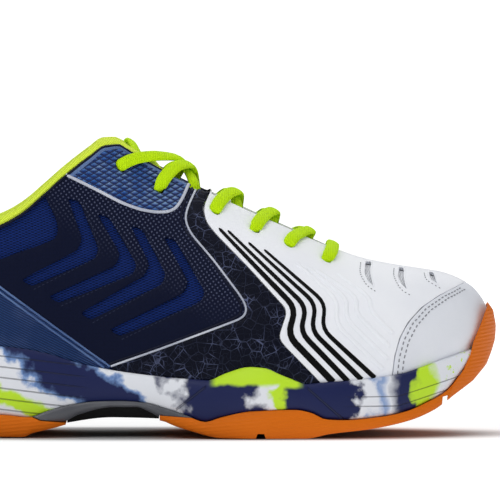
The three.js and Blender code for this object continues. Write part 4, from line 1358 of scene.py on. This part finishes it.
@dataclass
class Upper:
    """Base textile, panels, piping, stripes and stitching."""

    finishes: Finishes
    gap: float = GAP
    skin: float = SKIN
    textile: float = TEXTILE

    chevrons: tuple = (((-26.8, 96.2), (-18.9, 74.7), (-46.6, 61.7)),
                       ((-14.7, 89.9), (-3.2, 68.4), (-35.4, 54.9)),
                       ((-1.1, 85.0), (8.8, 64.4), (-22.3, 48.0)),
                       ((12.6, 80.4), (24.9, 57.2), (-10.2, 41.3)))
    stripes: tuple = (([(30.2, 84.7), (62.2, 52.4), (58.7, 42.1), (77.3, 23.4)], 1.1, 2.7),
                      ([(33.8, 83.7), (66.5, 52.9), (63.8, 43.4), (83.3, 23.7)], 0.9, 2.2),
                      ([(42.3, 78.8), (70.4, 53.9), (68.3, 43.9), (88.8, 24.4)], 0.9, 2.1),
                      ([(48.8, 75.8), (74.2, 54.3), (72.6, 44.5), (94.1, 25.1)], 0.9, 1.9))
    ridges: tuple = ([(62.5, 70.0), (79.3, 55.4), (78.2, 46.6), (97.2, 28.6)],
                     [(66.5, 68.6), (83.2, 56.0), (82.2, 48.6), (99.2, 32.6)],
                     [(70.4, 67.3), (87.2, 56.6), (86.4, 50.6), (99.9, 37.6)],
                     [(79.0, 65.8), (92.6, 56.4), (92.4, 51.6), (101.4, 42.6)])
    stitch_gap: float = 1.7
    vents: tuple = ([(90.3, 70.0), (89.8, 65.6), (91.4, 62.5), (94.4, 60.0), (93.4, 63.5), (92.9, 66.2),
                     (93.6, 69.6)],
                    [(104.2, 67.5), (103.7, 63.9), (105.3, 60.8), (108.3, 58.4), (107.2, 61.2),
                     (106.7, 63.9), (107.0, 67.1)],
                    [(116.6, 65.5), (117.0, 63.0), (120.6, 60.5), (119.7, 63.0), (119.4, 65.0)])

    def panel(self, name: str, outline: Array, material: bpy.types.Material, slot: str,
              holes: Iterable[Array] = (), **sizes: float) -> bpy.types.Object:
        """One skin panel in its finish."""
        piece = panel(name, outline, self.gap, self.skin, holes, **sizes)
        return dress(piece, material)

    def word(self, side: Side) -> str:
        """The side's word in node names."""
        return side.name.lower()

    def base(self) -> None:
        """Knitted base of the quarters and the vamp."""
        f = self.finishes
        low = -3.0
        for side in Side:
            foot = side_loop(along(lambda x: MIDSOLE_TOP(x) + low, -139, 70, 40), side, 4, closed=False)
            rear_edge = heel_strip_edge(side, 0.2, np.linspace(98.5, 36, 20))
            top = top_edge(side, -131, 25.0, 110)
            front = side_loop([(25.8, 98.5), *shifted(VAMP_REAR, -1.5)], side, 2, closed=False)
            outline = np.concatenate([rear_edge, foot, front[::-1], top[::-1]])
            holes = [eyelet_loop(*EYELETS[k], side, 2.6) for k in (4, 5)]
            piece = panel(f"quarter_knit_{self.word(side)}", outline, -self.textile, self.textile, holes,
                          3.4, 0.0)
            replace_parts(piece, f"quarter_mesh_{self.word(side)}")
            dress(piece, f.royal)
        half = [throat_line(Side.LATERAL, 79.4, 27.4, 26),
                side_loop(shifted(VAMP_REAR, -1.0), Side.LATERAL, 2, closed=False)]
        half.append(side_loop(along(lambda x: MIDSOLE_TOP(x) + low, 73.5, 133, 16), Side.LATERAL, 3,
                              closed=False))
        half.append(np.stack([np.ones(9), -np.linspace(0.98, 0.0, 9)], -1))
        one = np.concatenate(half)
        outline = np.concatenate([one, flipped(one[1:-1])[::-1]])
        holes = [eyelet_loop(*EYELETS[k], side, 2.6) for k in range(4) for side in Side]
        piece = panel("vamp_knit", outline, -self.textile, self.textile, holes, 3.4, 0.0)
        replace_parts(piece, "vamp_mesh")
        dress(piece, f.pale)

    def overlay(self, side: Side) -> None:
        """Perforated quarter panel with its V-shaped windows."""
        upper_left = [(-41.2, 98.9), (-35.6, 87.4), (-36.1, 81.1), (-59.2, 73), (-69, 69.4)]
        top = collar_line(side, -41.0, -33.2, 6)
        under_tab = side_loop(shifted(TAB_LOWER[:8], -0.1, -0.5), side, closed=False)
        past_tab = side_loop([(17.0, 97.0), (18.9, 101.4)], side, closed=False)
        front = side_loop(rounded(shifted(OVERLAY_FRONT, -0.3, 0.0), 3, closed=False), side, closed=False)
        back = side_loop(shifted([HEEL_FRONT[3], HEEL_FRONT[2]], 0.4, 0.4), side, closed=False)
        left = side_loop(rounded(upper_left[::-1], 4, closed=False), side, closed=False)
        outline = np.concatenate([top, under_tab, past_tab, front, back, left])
        windows = [side_loop(rounded(self.window(*one), 1.8), side) for one in self.chevrons]
        piece = self.panel(f"quarter_skin_{self.word(side)}", outline, self.finishes.perforated,
                           "navy_skin", windows)
        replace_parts(piece, f"quarter_overlay_{self.word(side)}")
        rows = [self.outset(one, side) for one in self.chevrons]
        sewing = stitches(f"window_stitches_{self.word(side)}", rows, SKIN_TOP + 0.05, pitch=1.9, length=1.3,
                          width=0.35)
        dress(sewing, self.finishes.dark_thread)

    def window(self, top: Points, corner: Points, tip: Points) -> list[tuple[float, float]]:
        """V-shaped window with blunt arms that meet at the corner."""
        (tx, tz), (cx, cz), (px, pz) = top, corner, tip
        return [top, (cx, cz + 2.2), (cx - 1.6, cz - 2.0), tip, (px - 4.2, pz + 2.8), (cx - 8.9, cz + 1.8),
                (cx - 6.8, cz + 6.3), (tx - 5.0, tz + 1.6)]

    def outset(self, chevron: tuple, side: Side) -> Array:
        """Line a little ahead of a window's outer edge."""
        top, corner, tip = chevron
        pts = [(top[0] + 1.2, top[1] + 0.3), (corner[0] + 1.6, corner[1] - 0.2),
               (tip[0] + 0.6, tip[1] - 1.4)]
        return side_loop(rounded(pts, 5, closed=False), side, 1.0, closed=False)

    def tab(self, side: Side) -> None:
        """Diamond eyelet tab at the ankle with a bead round its lower edge."""
        low = side_loop(rounded(TAB_LOWER, 4, closed=False), side, closed=False)
        outline = np.concatenate([low, top_edge(side, 18.6, -32.0, 40)])
        holes = [eyelet_loop(*EYELETS[k], side) for k in (4, 5)]
        piece = self.panel(f"ankle_tab_{self.word(side)}", outline, self.finishes.diamonds, "diamond_skin",
                           holes,
                           edge=0.5)
        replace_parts(piece, f"eyelet_tab_{self.word(side)}")
        seam = side_loop(rounded(TAB_LOWER, 4, closed=False), side, 0.8, closed=False)
        bead = surface_tube(f"ankle_tab_bead_{self.word(side)}", seam, SKIN_TOP - 0.1, 1.4, 1.1)
        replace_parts(bead, f"tab_piping_{self.word(side)}")
        dress(bead, self.finishes.silver)
        rim = top_edge(side, 16.5, -31, 70) + [0, side.value * 0.016]
        dress(surface_tube(f"ankle_tab_rim_{self.word(side)}", rim, SKIN_TOP - 0.1, 1.6, 0.8),
              self.finishes.blue_bead)
        line = top_edge(side, 7.0, -119, 190) + [0, side.value * 0.004]
        dress(surface_tube(f"collar_binding_{self.word(side)}", line, SKIN_TOP - 0.25, 1.1, 1.5),
              self.finishes.navy)

    def saddle(self, side: Side) -> None:
        """Crinkled panel between the quarter panel and the white vamp."""
        front = side_loop(rounded(shifted(VAMP_REAR, -0.35), 3, closed=False), side, closed=False)
        rear = side_loop(rounded(shifted(OVERLAY_FRONT, 0.35, -0.1), 3, closed=False), side, closed=False)
        foot = side_loop(along(tuck, 71.0, -11, 24), side, closed=False)
        top = throat_line(side, 21.6, 26.6, 5)
        outline = np.concatenate([top, side_loop([(26.4, 100.0)], side, closed=False), front, foot,
                                  rear[::-1]])
        piece = self.panel(f"saddle_skin_{self.word(side)}", outline, self.finishes.crinkle, "crinkle_skin")
        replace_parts(piece, f"saddle_{self.word(side)}")
        line = side_loop(rounded(OVERLAY_FRONT, 4, closed=False), side, 0.8, closed=False)
        bead = surface_tube(f"quarter_bead_{self.word(side)}", line, SKIN_TOP + 0.05, 0.9, 0.8)
        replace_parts(bead, f"quarter_piping_{self.word(side)}")
        dress(bead, self.finishes.silver)
        inner = side_loop(rounded(shifted(OVERLAY_FRONT, -1.9, 0.5), 4, closed=False), side, 0.8,
                          closed=False)
        dress(surface_tube(f"quarter_cord_{self.word(side)}", inner, SKIN_TOP + 0.02, 0.8, 0.5),
              self.finishes.navy)

    def heel(self, side: Side) -> None:
        """Ribbed metallic panel behind the diagonal, with a double bead, reaching back to the strip up the
        heel.
        """
        foot = side_loop(along(tuck, -118, -15, 36), side, closed=False)
        front = side_loop(rounded(HEEL_FRONT, 5, closed=False), side, closed=False)
        top = collar_line(side, -81.4, -124, 22)
        strip = heel_strip_edge(side, 8.5, np.linspace(float(COLLAR(-126)) - 0.4, 36.0, 22))
        outline = np.concatenate([foot, front[::-1], top, strip])
        piece = self.panel(f"heel_skin_{self.word(side)}", outline, self.finishes.ribbed, "metallic_skin")
        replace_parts(piece, f"heel_panel_{self.word(side)}")
        for shift, name in ((0.0, "front"), (-2.4, "rear")):
            line = side_loop(rounded(shifted(HEEL_FRONT, shift, shift * 0.2), 5, closed=False), side, 0.9,
                             closed=False)
            dress(surface_tube(f"heel_bead_{name}_{self.word(side)}", line, SKIN_TOP, 0.9, 0.8),
                  self.finishes.blue_bead)

    def backstay(self) -> None:
        """Strip up the middle of the heel."""
        heights = np.linspace(98.6, 35.0, 26)
        right, left = (heel_strip_edge(side, 8.0, heights) for side in Side)
        tip = np.zeros_like(heights)
        for side, edge in zip(Side, (right, left)):
            middle = at_height(tip, heights, side)
            outline = np.concatenate([edge, middle[::-1]])
            piece = panel(f"backstay_half_{self.word(side)}", outline, self.gap, self.skin, (), 2.4, 0.0)
            piece.name = f"backstay_{self.word(side)}"
            dress(piece, self.finishes.navy)
            if side is Side.LATERAL:
                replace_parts(piece, "heel_backstay")

    def vamp(self) -> None:
        """White vamp with eyestays, vents, black stripes and pressed ridges, ending at the toe cap."""
        f = self.finishes
        rear = side_loop(rounded([(26.6, 99.6), *VAMP_REAR], 3, closed=False), Side.LATERAL, closed=False)
        foot = side_loop(along(tuck, 73.5, 100.3, 10), Side.LATERAL, closed=False)
        cap = side_loop(shifted(TOE_CAP_REAR[::-1], -0.35)[1:], Side.LATERAL, closed=False)
        one = np.concatenate([throat_line(Side.LATERAL, 79.4, 27.0, 30), rear, foot, cap])
        crest = np.array([[LAST.station(134.6 - 0.4), 0.0]])
        outline = np.concatenate([one, crest, flipped(one[1:])[::-1]])
        holes = [eyelet_loop(*EYELETS[k], side) for k in range(4) for side in Side]
        vents = [side_loop(rounded(v, 0.8), side, 0.9) for v in self.vents for side in Side]
        piece = self.panel("vamp_skin", outline, f.white, "white_skin", [*holes, *vents], edge=0.45)
        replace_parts(piece, "vamp")
        for side in Side:
            self.stripe_set(side)
        rims = [surface_tube(f"vent_rim_{k}", np.concatenate([v, v[:1]]), SKIN_TOP - 0.1, 0.9, 0.6)
                for k, v in enumerate(vents)]
        dress(join(rims, "vent_rims"), f.white)
        rows = [side_loop(self.beside(v), side, 0.8, closed=False) for v in self.vents for side in Side]
        dress(stitches("vent_stitches", rows, SKIN_TOP + 0.04, pitch=1.7, length=1.0, width=0.42),
              f.grey_thread)

    def beside(self, vent: Points) -> list[tuple[float, float]]:
        """Line round the rear and the foot of a vent."""
        middle = np.mean(np.array(vent), 0)
        count = len(vent) // 2 + 1
        away = np.array(vent[:count]) - middle
        out = list(vent[:count] + away / np.linalg.norm(away, axis=1, keepdims=True) * self.stitch_gap)
        out[0] = np.array(vent[0]) + (-self.stitch_gap, -0.4)
        return rounded([tuple(p) for p in out], 2, closed=False)

    def stripe_set(self, side: Side) -> None:
        """Printed black stripes and the pressed ridges ahead of them."""
        films = []
        for k, (line, thin, wide) in enumerate(self.stripes):
            path = dense(rounded(line, 5, closed=False), 1.0)
            run = np.concatenate([[0], np.cumsum(np.linalg.norm(np.diff(path, axis=0), axis=1))]) / 84
            heading = np.gradient(path, axis=0)
            heading /= np.linalg.norm(heading, axis=1, keepdims=True)
            across = np.stack([-heading[:, 1], heading[:, 0]], -1)
            half = (thin + (wide - thin) * np.clip(run * 1.4, 0, 1))[:, None] / 2
            half[0] = 0.15
            loop = np.concatenate([path + across * half, (path - across * half)[::-1]])
            films.append(panel(f"stripe_{k}", LAST.place(loop[:, 0], loop[:, 1], side), SKIN_TOP + 0.02,
                               0.16, (), 3, 0.0))
        dress(join(films, f"stripes_{self.word(side)}"), self.finishes.black)
        beads = [surface_tube(f"ridge_{k}",
                              side_loop(rounded(line, 5, closed=False), side, 1.0, closed=False),
                              SKIN_TOP - 0.2, 2.1, 1.5) for k, line in enumerate(self.ridges)]
        dress(join(beads, f"vamp_ridges_{self.word(side)}"), self.finishes.white)

    def toe_cap(self) -> None:
        """Cap round the toe with two rows of stitches behind its edge."""
        f = self.finishes
        edge = side_loop(rounded(TOE_CAP_REAR[1:-1], 3, closed=False), Side.LATERAL, closed=False)
        crest = np.array([[LAST.station(134.6), 0.0]])
        foot = side_loop(along(tuck, 101.0, 131, 16), Side.LATERAL, closed=False)
        tip_w = abs(foot[-1][1])
        tip = np.stack([np.ones(13), np.linspace(-tip_w, tip_w, 13)], -1)
        outline = np.concatenate([crest, edge, foot, tip, flipped(foot)[::-1], flipped(edge)[::-1]])
        piece = self.panel("toe_cap_skin", outline, f.cap, "white_skin", edge=0.45)
        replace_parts(piece, "toe_cap")
        rows = []
        for ahead in (1.6, 3.4):
            points = [(x + ahead, z - ahead * 0.35) for x, z in TOE_CAP_REAR[2:-1]]
            rows += [side_loop(points, side, 1.0, closed=False) for side in Side]
        dress(stitches("toe_cap_stitches", rows, SKIN_TOP + 0.05, pitch=2.4, length=1.8, width=0.55),
              f.grey_thread)

    def build(self) -> None:
        """Builds every piece."""
        self.base()
        for side in Side:
            self.overlay(side)
            self.tab(side)
            self.saddle(side)
            self.heel(side)
        self.backstay()
        self.vamp()
        self.toe_cap()


# ------------------------------------------------------------------ collar, tongue and lace


@dataclass
class Collar:
    """Padded lime collar and the lining behind it."""

    finishes: Finishes
    front: float = 8.0

    def section(self, x: float, side: Side) -> Array:
        """Closed section of the collar at a drawn x."""
        drawn = np.array([x])
        if x > -40:
            edge = float(LAST.point(top_edge(side, x, x, 0))[0, 2])
        else:
            edge = float(COLLAR(drawn + LAST.lean(drawn, np.array([95.0])))[0])
        full = float(smoothstep(14, 42, -x))
        tight = float(smoothstep(-34, -20, x))
        fade = 1 - 0.75 * float(smoothstep(self.front - 5, self.front, x))
        profile = [(0.2, 1.0), (1.2, 1.5), (2.2, 1.3), (3.0, 0.3), (3.5, -1.4), (3.4, -3.2),
                   (2.6, -4.8 - 2.2 * full), (0.9, -5.3 - 3.8 * full), (-3, -5.4 - 4.7 * full),
                   (-9, -5.3 - 5.0 * full), (-17, -5.2 - 4.4 * full), (-26, -5.2 - 2.8 * full),
                   (-36, -5.2), (-50, -5.2), (-58, -5.2)]
        floor = float(LAST.feather(drawn)[0]) + 6
        short = max(edge - 9.0, floor)
        front = []
        for dz, depth in profile:
            height = max(edge + dz * (fade if dz > 0 else 1), floor)
            height = height * (1 - tight) + max(height, short) * tight
            inward = depth + 0.9 * tight * smoothstep(2.9, 0, dz)
            front.append((height, depth * fade if depth > 0 else inward))
        back = [(z, depth + 0.9) for z, depth in front[::-1][:-5]]
        loop = front + back
        z = np.array([p[0] for p in loop])
        uw = at_height(np.full(len(loop), LAST.station(x)), z, side)
        points = LAST.level(uw, np.array([float(p[1]) for p in loop]))
        points[:, 2] = z
        return points

    def build(self) -> None:
        """Builds the collar as one padded piece round the ankle."""
        stations = [float(LAST.drawn_x(u)) for u in np.linspace(float(LAST.station(self.front)), 0.004, 130)]
        lateral = [self.section(x, Side.LATERAL) for x in stations]
        medial = [self.section(x, Side.MEDIAL) for x in stations[::-1]]
        piece = ring_loft("ankle_collar", np.array(lateral + medial))
        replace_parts(piece, "collar_lining")
        dress(piece, self.finishes.collar)


@dataclass
class Tongue:
    """Padded tongue under the lace."""

    finishes: Finishes
    face: float = -8.2
    thickness: float = 4.2
    dip: float = 9.0
    lining: float = 1.6
    end: float = -15.0

    def sheet(self, name: str, top: float, bottom: float, grow: float) -> bpy.types.Object:
        """A rounded slab between two depths under the throat."""
        half = Curve((-22, 9 + grow), (-18, 18 + grow), (-8, 20.5 + grow), (30, 22 + grow), (60, 20 + grow),
                     (83, 13 + grow))
        sections = []
        for x in np.linspace(self.end - grow * 4.0, 83, 64):
            y = np.linspace(-1, 1, 25)
            puff = 1 - np.abs(y) ** 6
            drop = self.dip * smoothstep(-14, 20, -x)
            quilt = 0.35 * np.cos(2 * math.pi * x / 14)
            end = float(smoothstep(self.end - grow * 4.0 - 1, self.end - grow * 4.0 + 4, x))
            middle = (top + bottom) / 2
            low_z_guard = np.clip(np.abs(y) * half(x), 0, LAST.half(np.array([x]))[0] * 0.93)
            uw = LAST.place_top(np.full(25, x), np.sign(y) * low_z_guard)
            upper = middle + (top - middle + quilt * puff) * np.maximum(puff, 0.06) * max(end, 0.15) - drop
            lower = middle - (middle - bottom) * np.maximum(puff, 0.06) * max(end, 0.15) - drop
            sections.append(np.concatenate([LAST.raised(uw, upper), LAST.raised(uw, lower)[::-1]]))
        return ring_loft(name, np.array(sections))

    def build(self) -> None:
        """Builds its outer and inner layers."""
        outer = self.sheet("tongue_pad", self.face, self.face - self.thickness, 0)
        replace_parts(outer, "tongue")
        dress(outer, self.finishes.tongue, "tongue_flap")
        back = self.face - self.thickness - 0.3
        inner = self.sheet("tongue_back", back, back - self.lining, -1)
        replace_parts(inner, "tongue_lining")
        dress(inner, self.finishes.collar, "tongue_flap")


@dataclass
class Lace:
    """Flat oval lace criss-crossed through six pairs of eyelets, its ends tucked in under the top pair."""

    finishes: Finishes
    width: float = 5.6
    height: float = 2.3
    in_hole: float = 0.72
    under: float = -5.6
    over: float = SKIN_TOP + 1.25
    slack: float = 15.0

    def eyelet(self, index: int, side: Side, depth: float, dx: float = 0, dz: float = 0) -> Array:
        """Point over an eyelet."""
        x, z = EYELETS[index]
        return LAST.on_side(x + dx, z + dz, side, depth)

    def crossing(self, low: int, side: Side) -> list[tuple[Array, Array, float]]:
        """From under one eyelet, out of the throat, over the tongue, to the next on the other side."""
        other = Side.MEDIAL if side is Side.LATERAL else Side.LATERAL
        is_top = low == len(EYELETS) - 2
        slack = self.slack if is_top and side is Side.MEDIAL else 0.0
        sag = 4.0 if is_top and side is Side.LATERAL else 0.0
        rise = 2.6 if side is Side.MEDIAL else 0.0
        start = LAST.on_side(*EYELETS[low], side, 0)
        end = LAST.on_side(*EYELETS[low + 1], other, 0)
        centre = float(LAST.centre(start[0]))
        edge = (abs(start[1] - centre) - float(LAST.throat(start[0]))) / abs(end[1] - start[1])
        stages = [(edge * 0.45, self.under), (edge + 0.045, self.under), (edge + 0.14, -1.4 - sag * 0.6),
                  (0.5, 1.0 + rise - sag), (0.9 - edge, self.over - 0.3 + rise * 0.3 - sag * 0.5),
                  (1 - edge, self.over - sag * 0.22), (0.93, self.over - sag * 0.12)]
        out = []
        for share, depth in stages:
            spot = start + (end - start) * share
            x = spot[0] + slack * math.sin(math.pi * share)
            uw = LAST.place_top(np.array([x]), np.array([spot[1] - float(LAST.centre(x))]))
            out.append((LAST.raised(uw, depth)[0], LAST.normal(uw)[0], 1.0))
        return out

    def threading(self, index: int, side: Side) -> list[tuple[Array, Array, float]]:
        """Down through an eyelet."""
        normal = LAST.normal(LAST.place(*EYELETS[index], side))
        stages = ((self.over - 0.7, 0.95), (0.4, self.in_hole), (-2, self.in_hole), (self.under, 0.9))
        return [(self.eyelet(index, side, depth), normal, fat) for depth, fat in stages]

    def half(self, first: Side) -> list[tuple[Array, Array, float]]:
        """From the bar across the lowest pair to the tucked end."""
        x = EYELETS[0][0]
        out = []
        for ahead, across in ((2.0, 7.0), (1.6, 14.0), (0.8, 19.5)):
            uw = LAST.place_top(np.array([x + ahead]), np.array([first.value * across]))
            out.append((LAST.raised(uw, self.over + 0.4)[0], LAST.normal(uw)[0], 1.0))
        side = first
        for index in range(len(EYELETS)):
            out += self.threading(index, side)
            if index < len(EYELETS) - 1:
                out += self.crossing(index, side)
                side = Side.MEDIAL if side is Side.LATERAL else Side.LATERAL
        last = len(EYELETS) - 1
        normal = LAST.normal(LAST.place(*EYELETS[last], side))
        for dz, lower in ((-2, -0.9), (-5, -1.3)):
            out.append((self.eyelet(last, side, self.under + lower, 0, dz), normal, 0.95))
        return out

    def curve(self, points: Array, values: Array, per_span: int = 7) -> tuple[Array, Array]:
        """Smooth path through points (centripetal), with other values carried along."""
        ends = np.concatenate([[2 * points[0] - points[1]], points, [2 * points[-1] - points[-2]]])
        out, carried = [], []
        for i in range(1, len(ends) - 2):
            p = ends[i - 1:i + 3]
            gaps = np.linalg.norm(np.diff(p, axis=0), axis=1)
            knots = np.concatenate([[0], np.cumsum(np.maximum(gaps, 1e-4) ** 0.5)])
            for k in range(per_span):
                share = k / per_span
                t = knots[1] + (knots[2] - knots[1]) * share
                a = [p[j] * (knots[j + 1] - t) / (knots[j + 1] - knots[j])
                     + p[j + 1] * (t - knots[j]) / (knots[j + 1] - knots[j]) for j in range(3)]
                b = [a[j] * (knots[j + 2] - t) / (knots[j + 2] - knots[j])
                     + a[j + 1] * (t - knots[j]) / (knots[j + 2] - knots[j]) for j in range(2)]
                span = knots[2] - knots[1]
                out.append(b[0] * (knots[2] - t) / span + b[1] * (t - knots[1]) / span)
                carried.append(values[i - 1] * (1 - share) + values[i] * share)
        return np.array([*out, points[-1]]), np.array([*carried, values[-1]])

    def frames(self, path: Array, wanted: Array) -> tuple[Array, Array]:
        """Across and up vectors that follow the surface where the lace lies on it and never flip over."""
        tangent = np.gradient(path, axis=0)
        tangent /= np.maximum(np.linalg.norm(tangent, axis=1, keepdims=True), 1e-9)
        ups = []
        up = wanted[0] - tangent[0] * float(wanted[0] @ tangent[0])
        up /= np.linalg.norm(up)
        for t, n in zip(tangent, wanted):
            carried = up - t * float(up @ t)
            carried /= max(np.linalg.norm(carried), 1e-9)
            lying = n - t * float(n @ t)
            weight = min(float(np.linalg.norm(lying)), 1.0) ** 4
            if np.linalg.norm(lying) > 1e-6:
                lying = lying / np.linalg.norm(lying)
                lying = lying if float(lying @ carried) >= 0 else -lying
            up = carried * (1 - 0.45 * weight) + lying * 0.45 * weight
            up /= np.linalg.norm(up)
            ups.append(up)
        ups = np.array(ups)
        return np.cross(tangent, ups), ups

    def build(self) -> None:
        """Builds the lace along its whole route."""
        route = self.half(Side.LATERAL)[::-1] + self.half(Side.MEDIAL)
        points = np.array([r[0] for r in route])
        extra = np.array([[*r[1], r[2]] for r in route])
        path, carried = self.curve(points, extra)
        across, up = self.frames(path, carried[:, :3])
        section = np.array(round_section(self.width, self.height, 12))
        half_height = self.height / 2
        section[:, 1] = np.sign(section[:, 1]) * half_height * (np.abs(section[:, 1]) / half_height) ** 0.8
        fat = carried[:, 3:]
        piece = swept("flat_lace", path, across * fat, up * np.clip(1.6 - 0.6 * fat, 1, 1.3), section)
        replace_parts(piece, "lace")
        dress(piece, self.finishes.lace)
        run = float(np.sum(np.linalg.norm(np.diff(path, axis=0), axis=1)))
        LOG.info("lace length %.0f mm", run)


# ------------------------------------------------------------------ the rest


@dataclass
class Insides:
    """Finishes of the CAD pieces that stay as they are."""

    finishes: Finishes

    def build(self, nodes: dict) -> None:
        """Gives each its material."""
        f = self.finishes
        looks = {"lasting_board": f.board, "sockliner": f.sock, "heel_counter": f.stiffener,
                 "toe_puff": f.stiffener,
                 "collar_padding": f.foam, "vamp_lining": f.lining}
        for name, material in looks.items():
            node = nodes[name]
            node.data.materials.clear()
            node.data.materials.append(material)


@dataclass
class Studio:
    """Pale floor, soft lights and the camera."""

    lens: float = 900.0
    picture_mm: float = 205.0
    aim: tuple = (43.3, 0.0, 75.6)
    elevation: float = 2.0
    near_plane: float = -48.0
    surround: float = 0.3
    glow: float = 0.62

    def floor(self) -> None:
        """Plain flat pale floor that glows: its glow is cut out under the shoe as a painted shadow, and
        rises to white far from it.
        """
        g = Graph("studio_floor")
        cloud = g.noise(0.004, 2)
        # Footprint mask of the painted shadow: the floor's glow is taken away under the shoe.
        under = ((g.x / 150) * (g.x / 150) + (g.y / 55) * (g.y / 55)).math("SQRT").smooth(0.8, 1.25)
        away = (g.x * g.x + g.y * g.y).math("SQRT").smooth(180, 1200)
        glow = g.mix(away, (self.glow,) * 3, (1.0, 1.0, 1.0))
        # Painted contact shadow: no glow under the shoe, full glow round it.
        glow = g.mix(under, (0.0, 0.0, 0.0), glow)
        g.tree.links.new(glow.socket, g.shader.inputs["Emission Color"])
        material = g.dress(g.mix(cloud, (0.52, 0.52, 0.52), (0.56, 0.56, 0.56)), 0.8, Emission_Strength=1.0,
                           Specular_IOR_Level=0.0)
        deselect()
        bpy.ops.mesh.primitive_plane_add(size=24, location=(0, 0, 0))
        floor = bpy.context.object
        floor.name = "studio_floor"
        floor.data.transform(floor.matrix_world)
        floor.location = (0, 0, 0)
        for vertex in floor.data.vertices:
            vertex.co.z = -0.0005
        floor.data.materials.append(material)

    def light(self, name: str, place: tuple, power: float, size: float, colour: tuple = (1, 1, 1)) -> None:
        """One soft lamp aimed at the shoe."""
        data = bpy.data.lights.new(name, "AREA")
        data.energy = power
        data.size = size
        data.color = colour
        lamp = bpy.data.objects.new(name, data)
        lamp.location = place
        lamp.rotation_euler = (Vector((0, 0, 0.06)) - Vector(place)).to_track_quat("-Z", "Y").to_euler()
        bpy.context.scene.collection.objects.link(lamp)

    def world(self) -> None:
        """Even white surroundings."""
        world = bpy.data.worlds.new("studio")
        world.use_nodes = True
        nodes, links = world.node_tree.nodes, world.node_tree.links
        path = nodes.new("ShaderNodeLightPath")
        level = nodes.new("ShaderNodeMapRange")
        level.inputs[3].default_value = self.surround
        level.inputs[4].default_value = 1.0
        links.new(path.outputs["Is Camera Ray"], level.inputs[0])
        nodes["Background"].inputs[0].default_value = (1, 1, 1, 1)
        links.new(level.outputs[0], nodes["Background"].inputs[1])
        bpy.context.scene.world = world
        bpy.context.scene.view_settings.view_transform = "Standard"

    def camera(self) -> None:
        """Long lens from the lateral side, a little above the ground."""
        data = bpy.data.cameras.new("camera")
        data.lens = self.lens
        data.sensor_width = 36.0
        away = self.picture_mm * self.lens / data.sensor_width + abs(self.near_plane)
        data.clip_end = 100
        camera = bpy.data.objects.new("camera", data)
        tilt = math.radians(self.elevation)
        target = Vector(self.aim) * MM
        place = target + Vector((0, -math.cos(tilt), math.sin(tilt))) * away * MM
        camera.location = place
        camera.rotation_euler = (target - place).to_track_quat("-Z", "Y").to_euler()
        bpy.context.scene.collection.objects.link(camera)
        bpy.context.scene.camera = camera

    def build(self) -> None:
        """Sets the stage."""
        self.floor()
        self.world()
        self.light("top", (0.1, -0.1, 1.6), 10, 1.6)
        self.light("key", (-0.8, -1.3, 1.2), 8.5, 0.7)
        self.light("fill", (1.3, -1.0, 0.6), 2, 1.0)
        self.light("back", (0.2, 1.3, 1.0), 5, 1.2)
        self.camera()


def main() -> None:
    """Builds the shoe in order."""
    finishes = Finishes()
    LOG.info("soles")
    soles = Soles(finishes)
    soles.midsole()
    soles.outsoles()
    LOG.info("upper")
    Upper(finishes).build()
    LOG.info("collar, tongue and lace")
    Collar(finishes).build()
    Tongue(finishes).build()
    Lace(finishes).build()
    Insides(finishes).build(frame["nodes"])
    Studio().build()


if __name__ == "__main__":
    logging.basicConfig(level=logging.INFO)
    main()
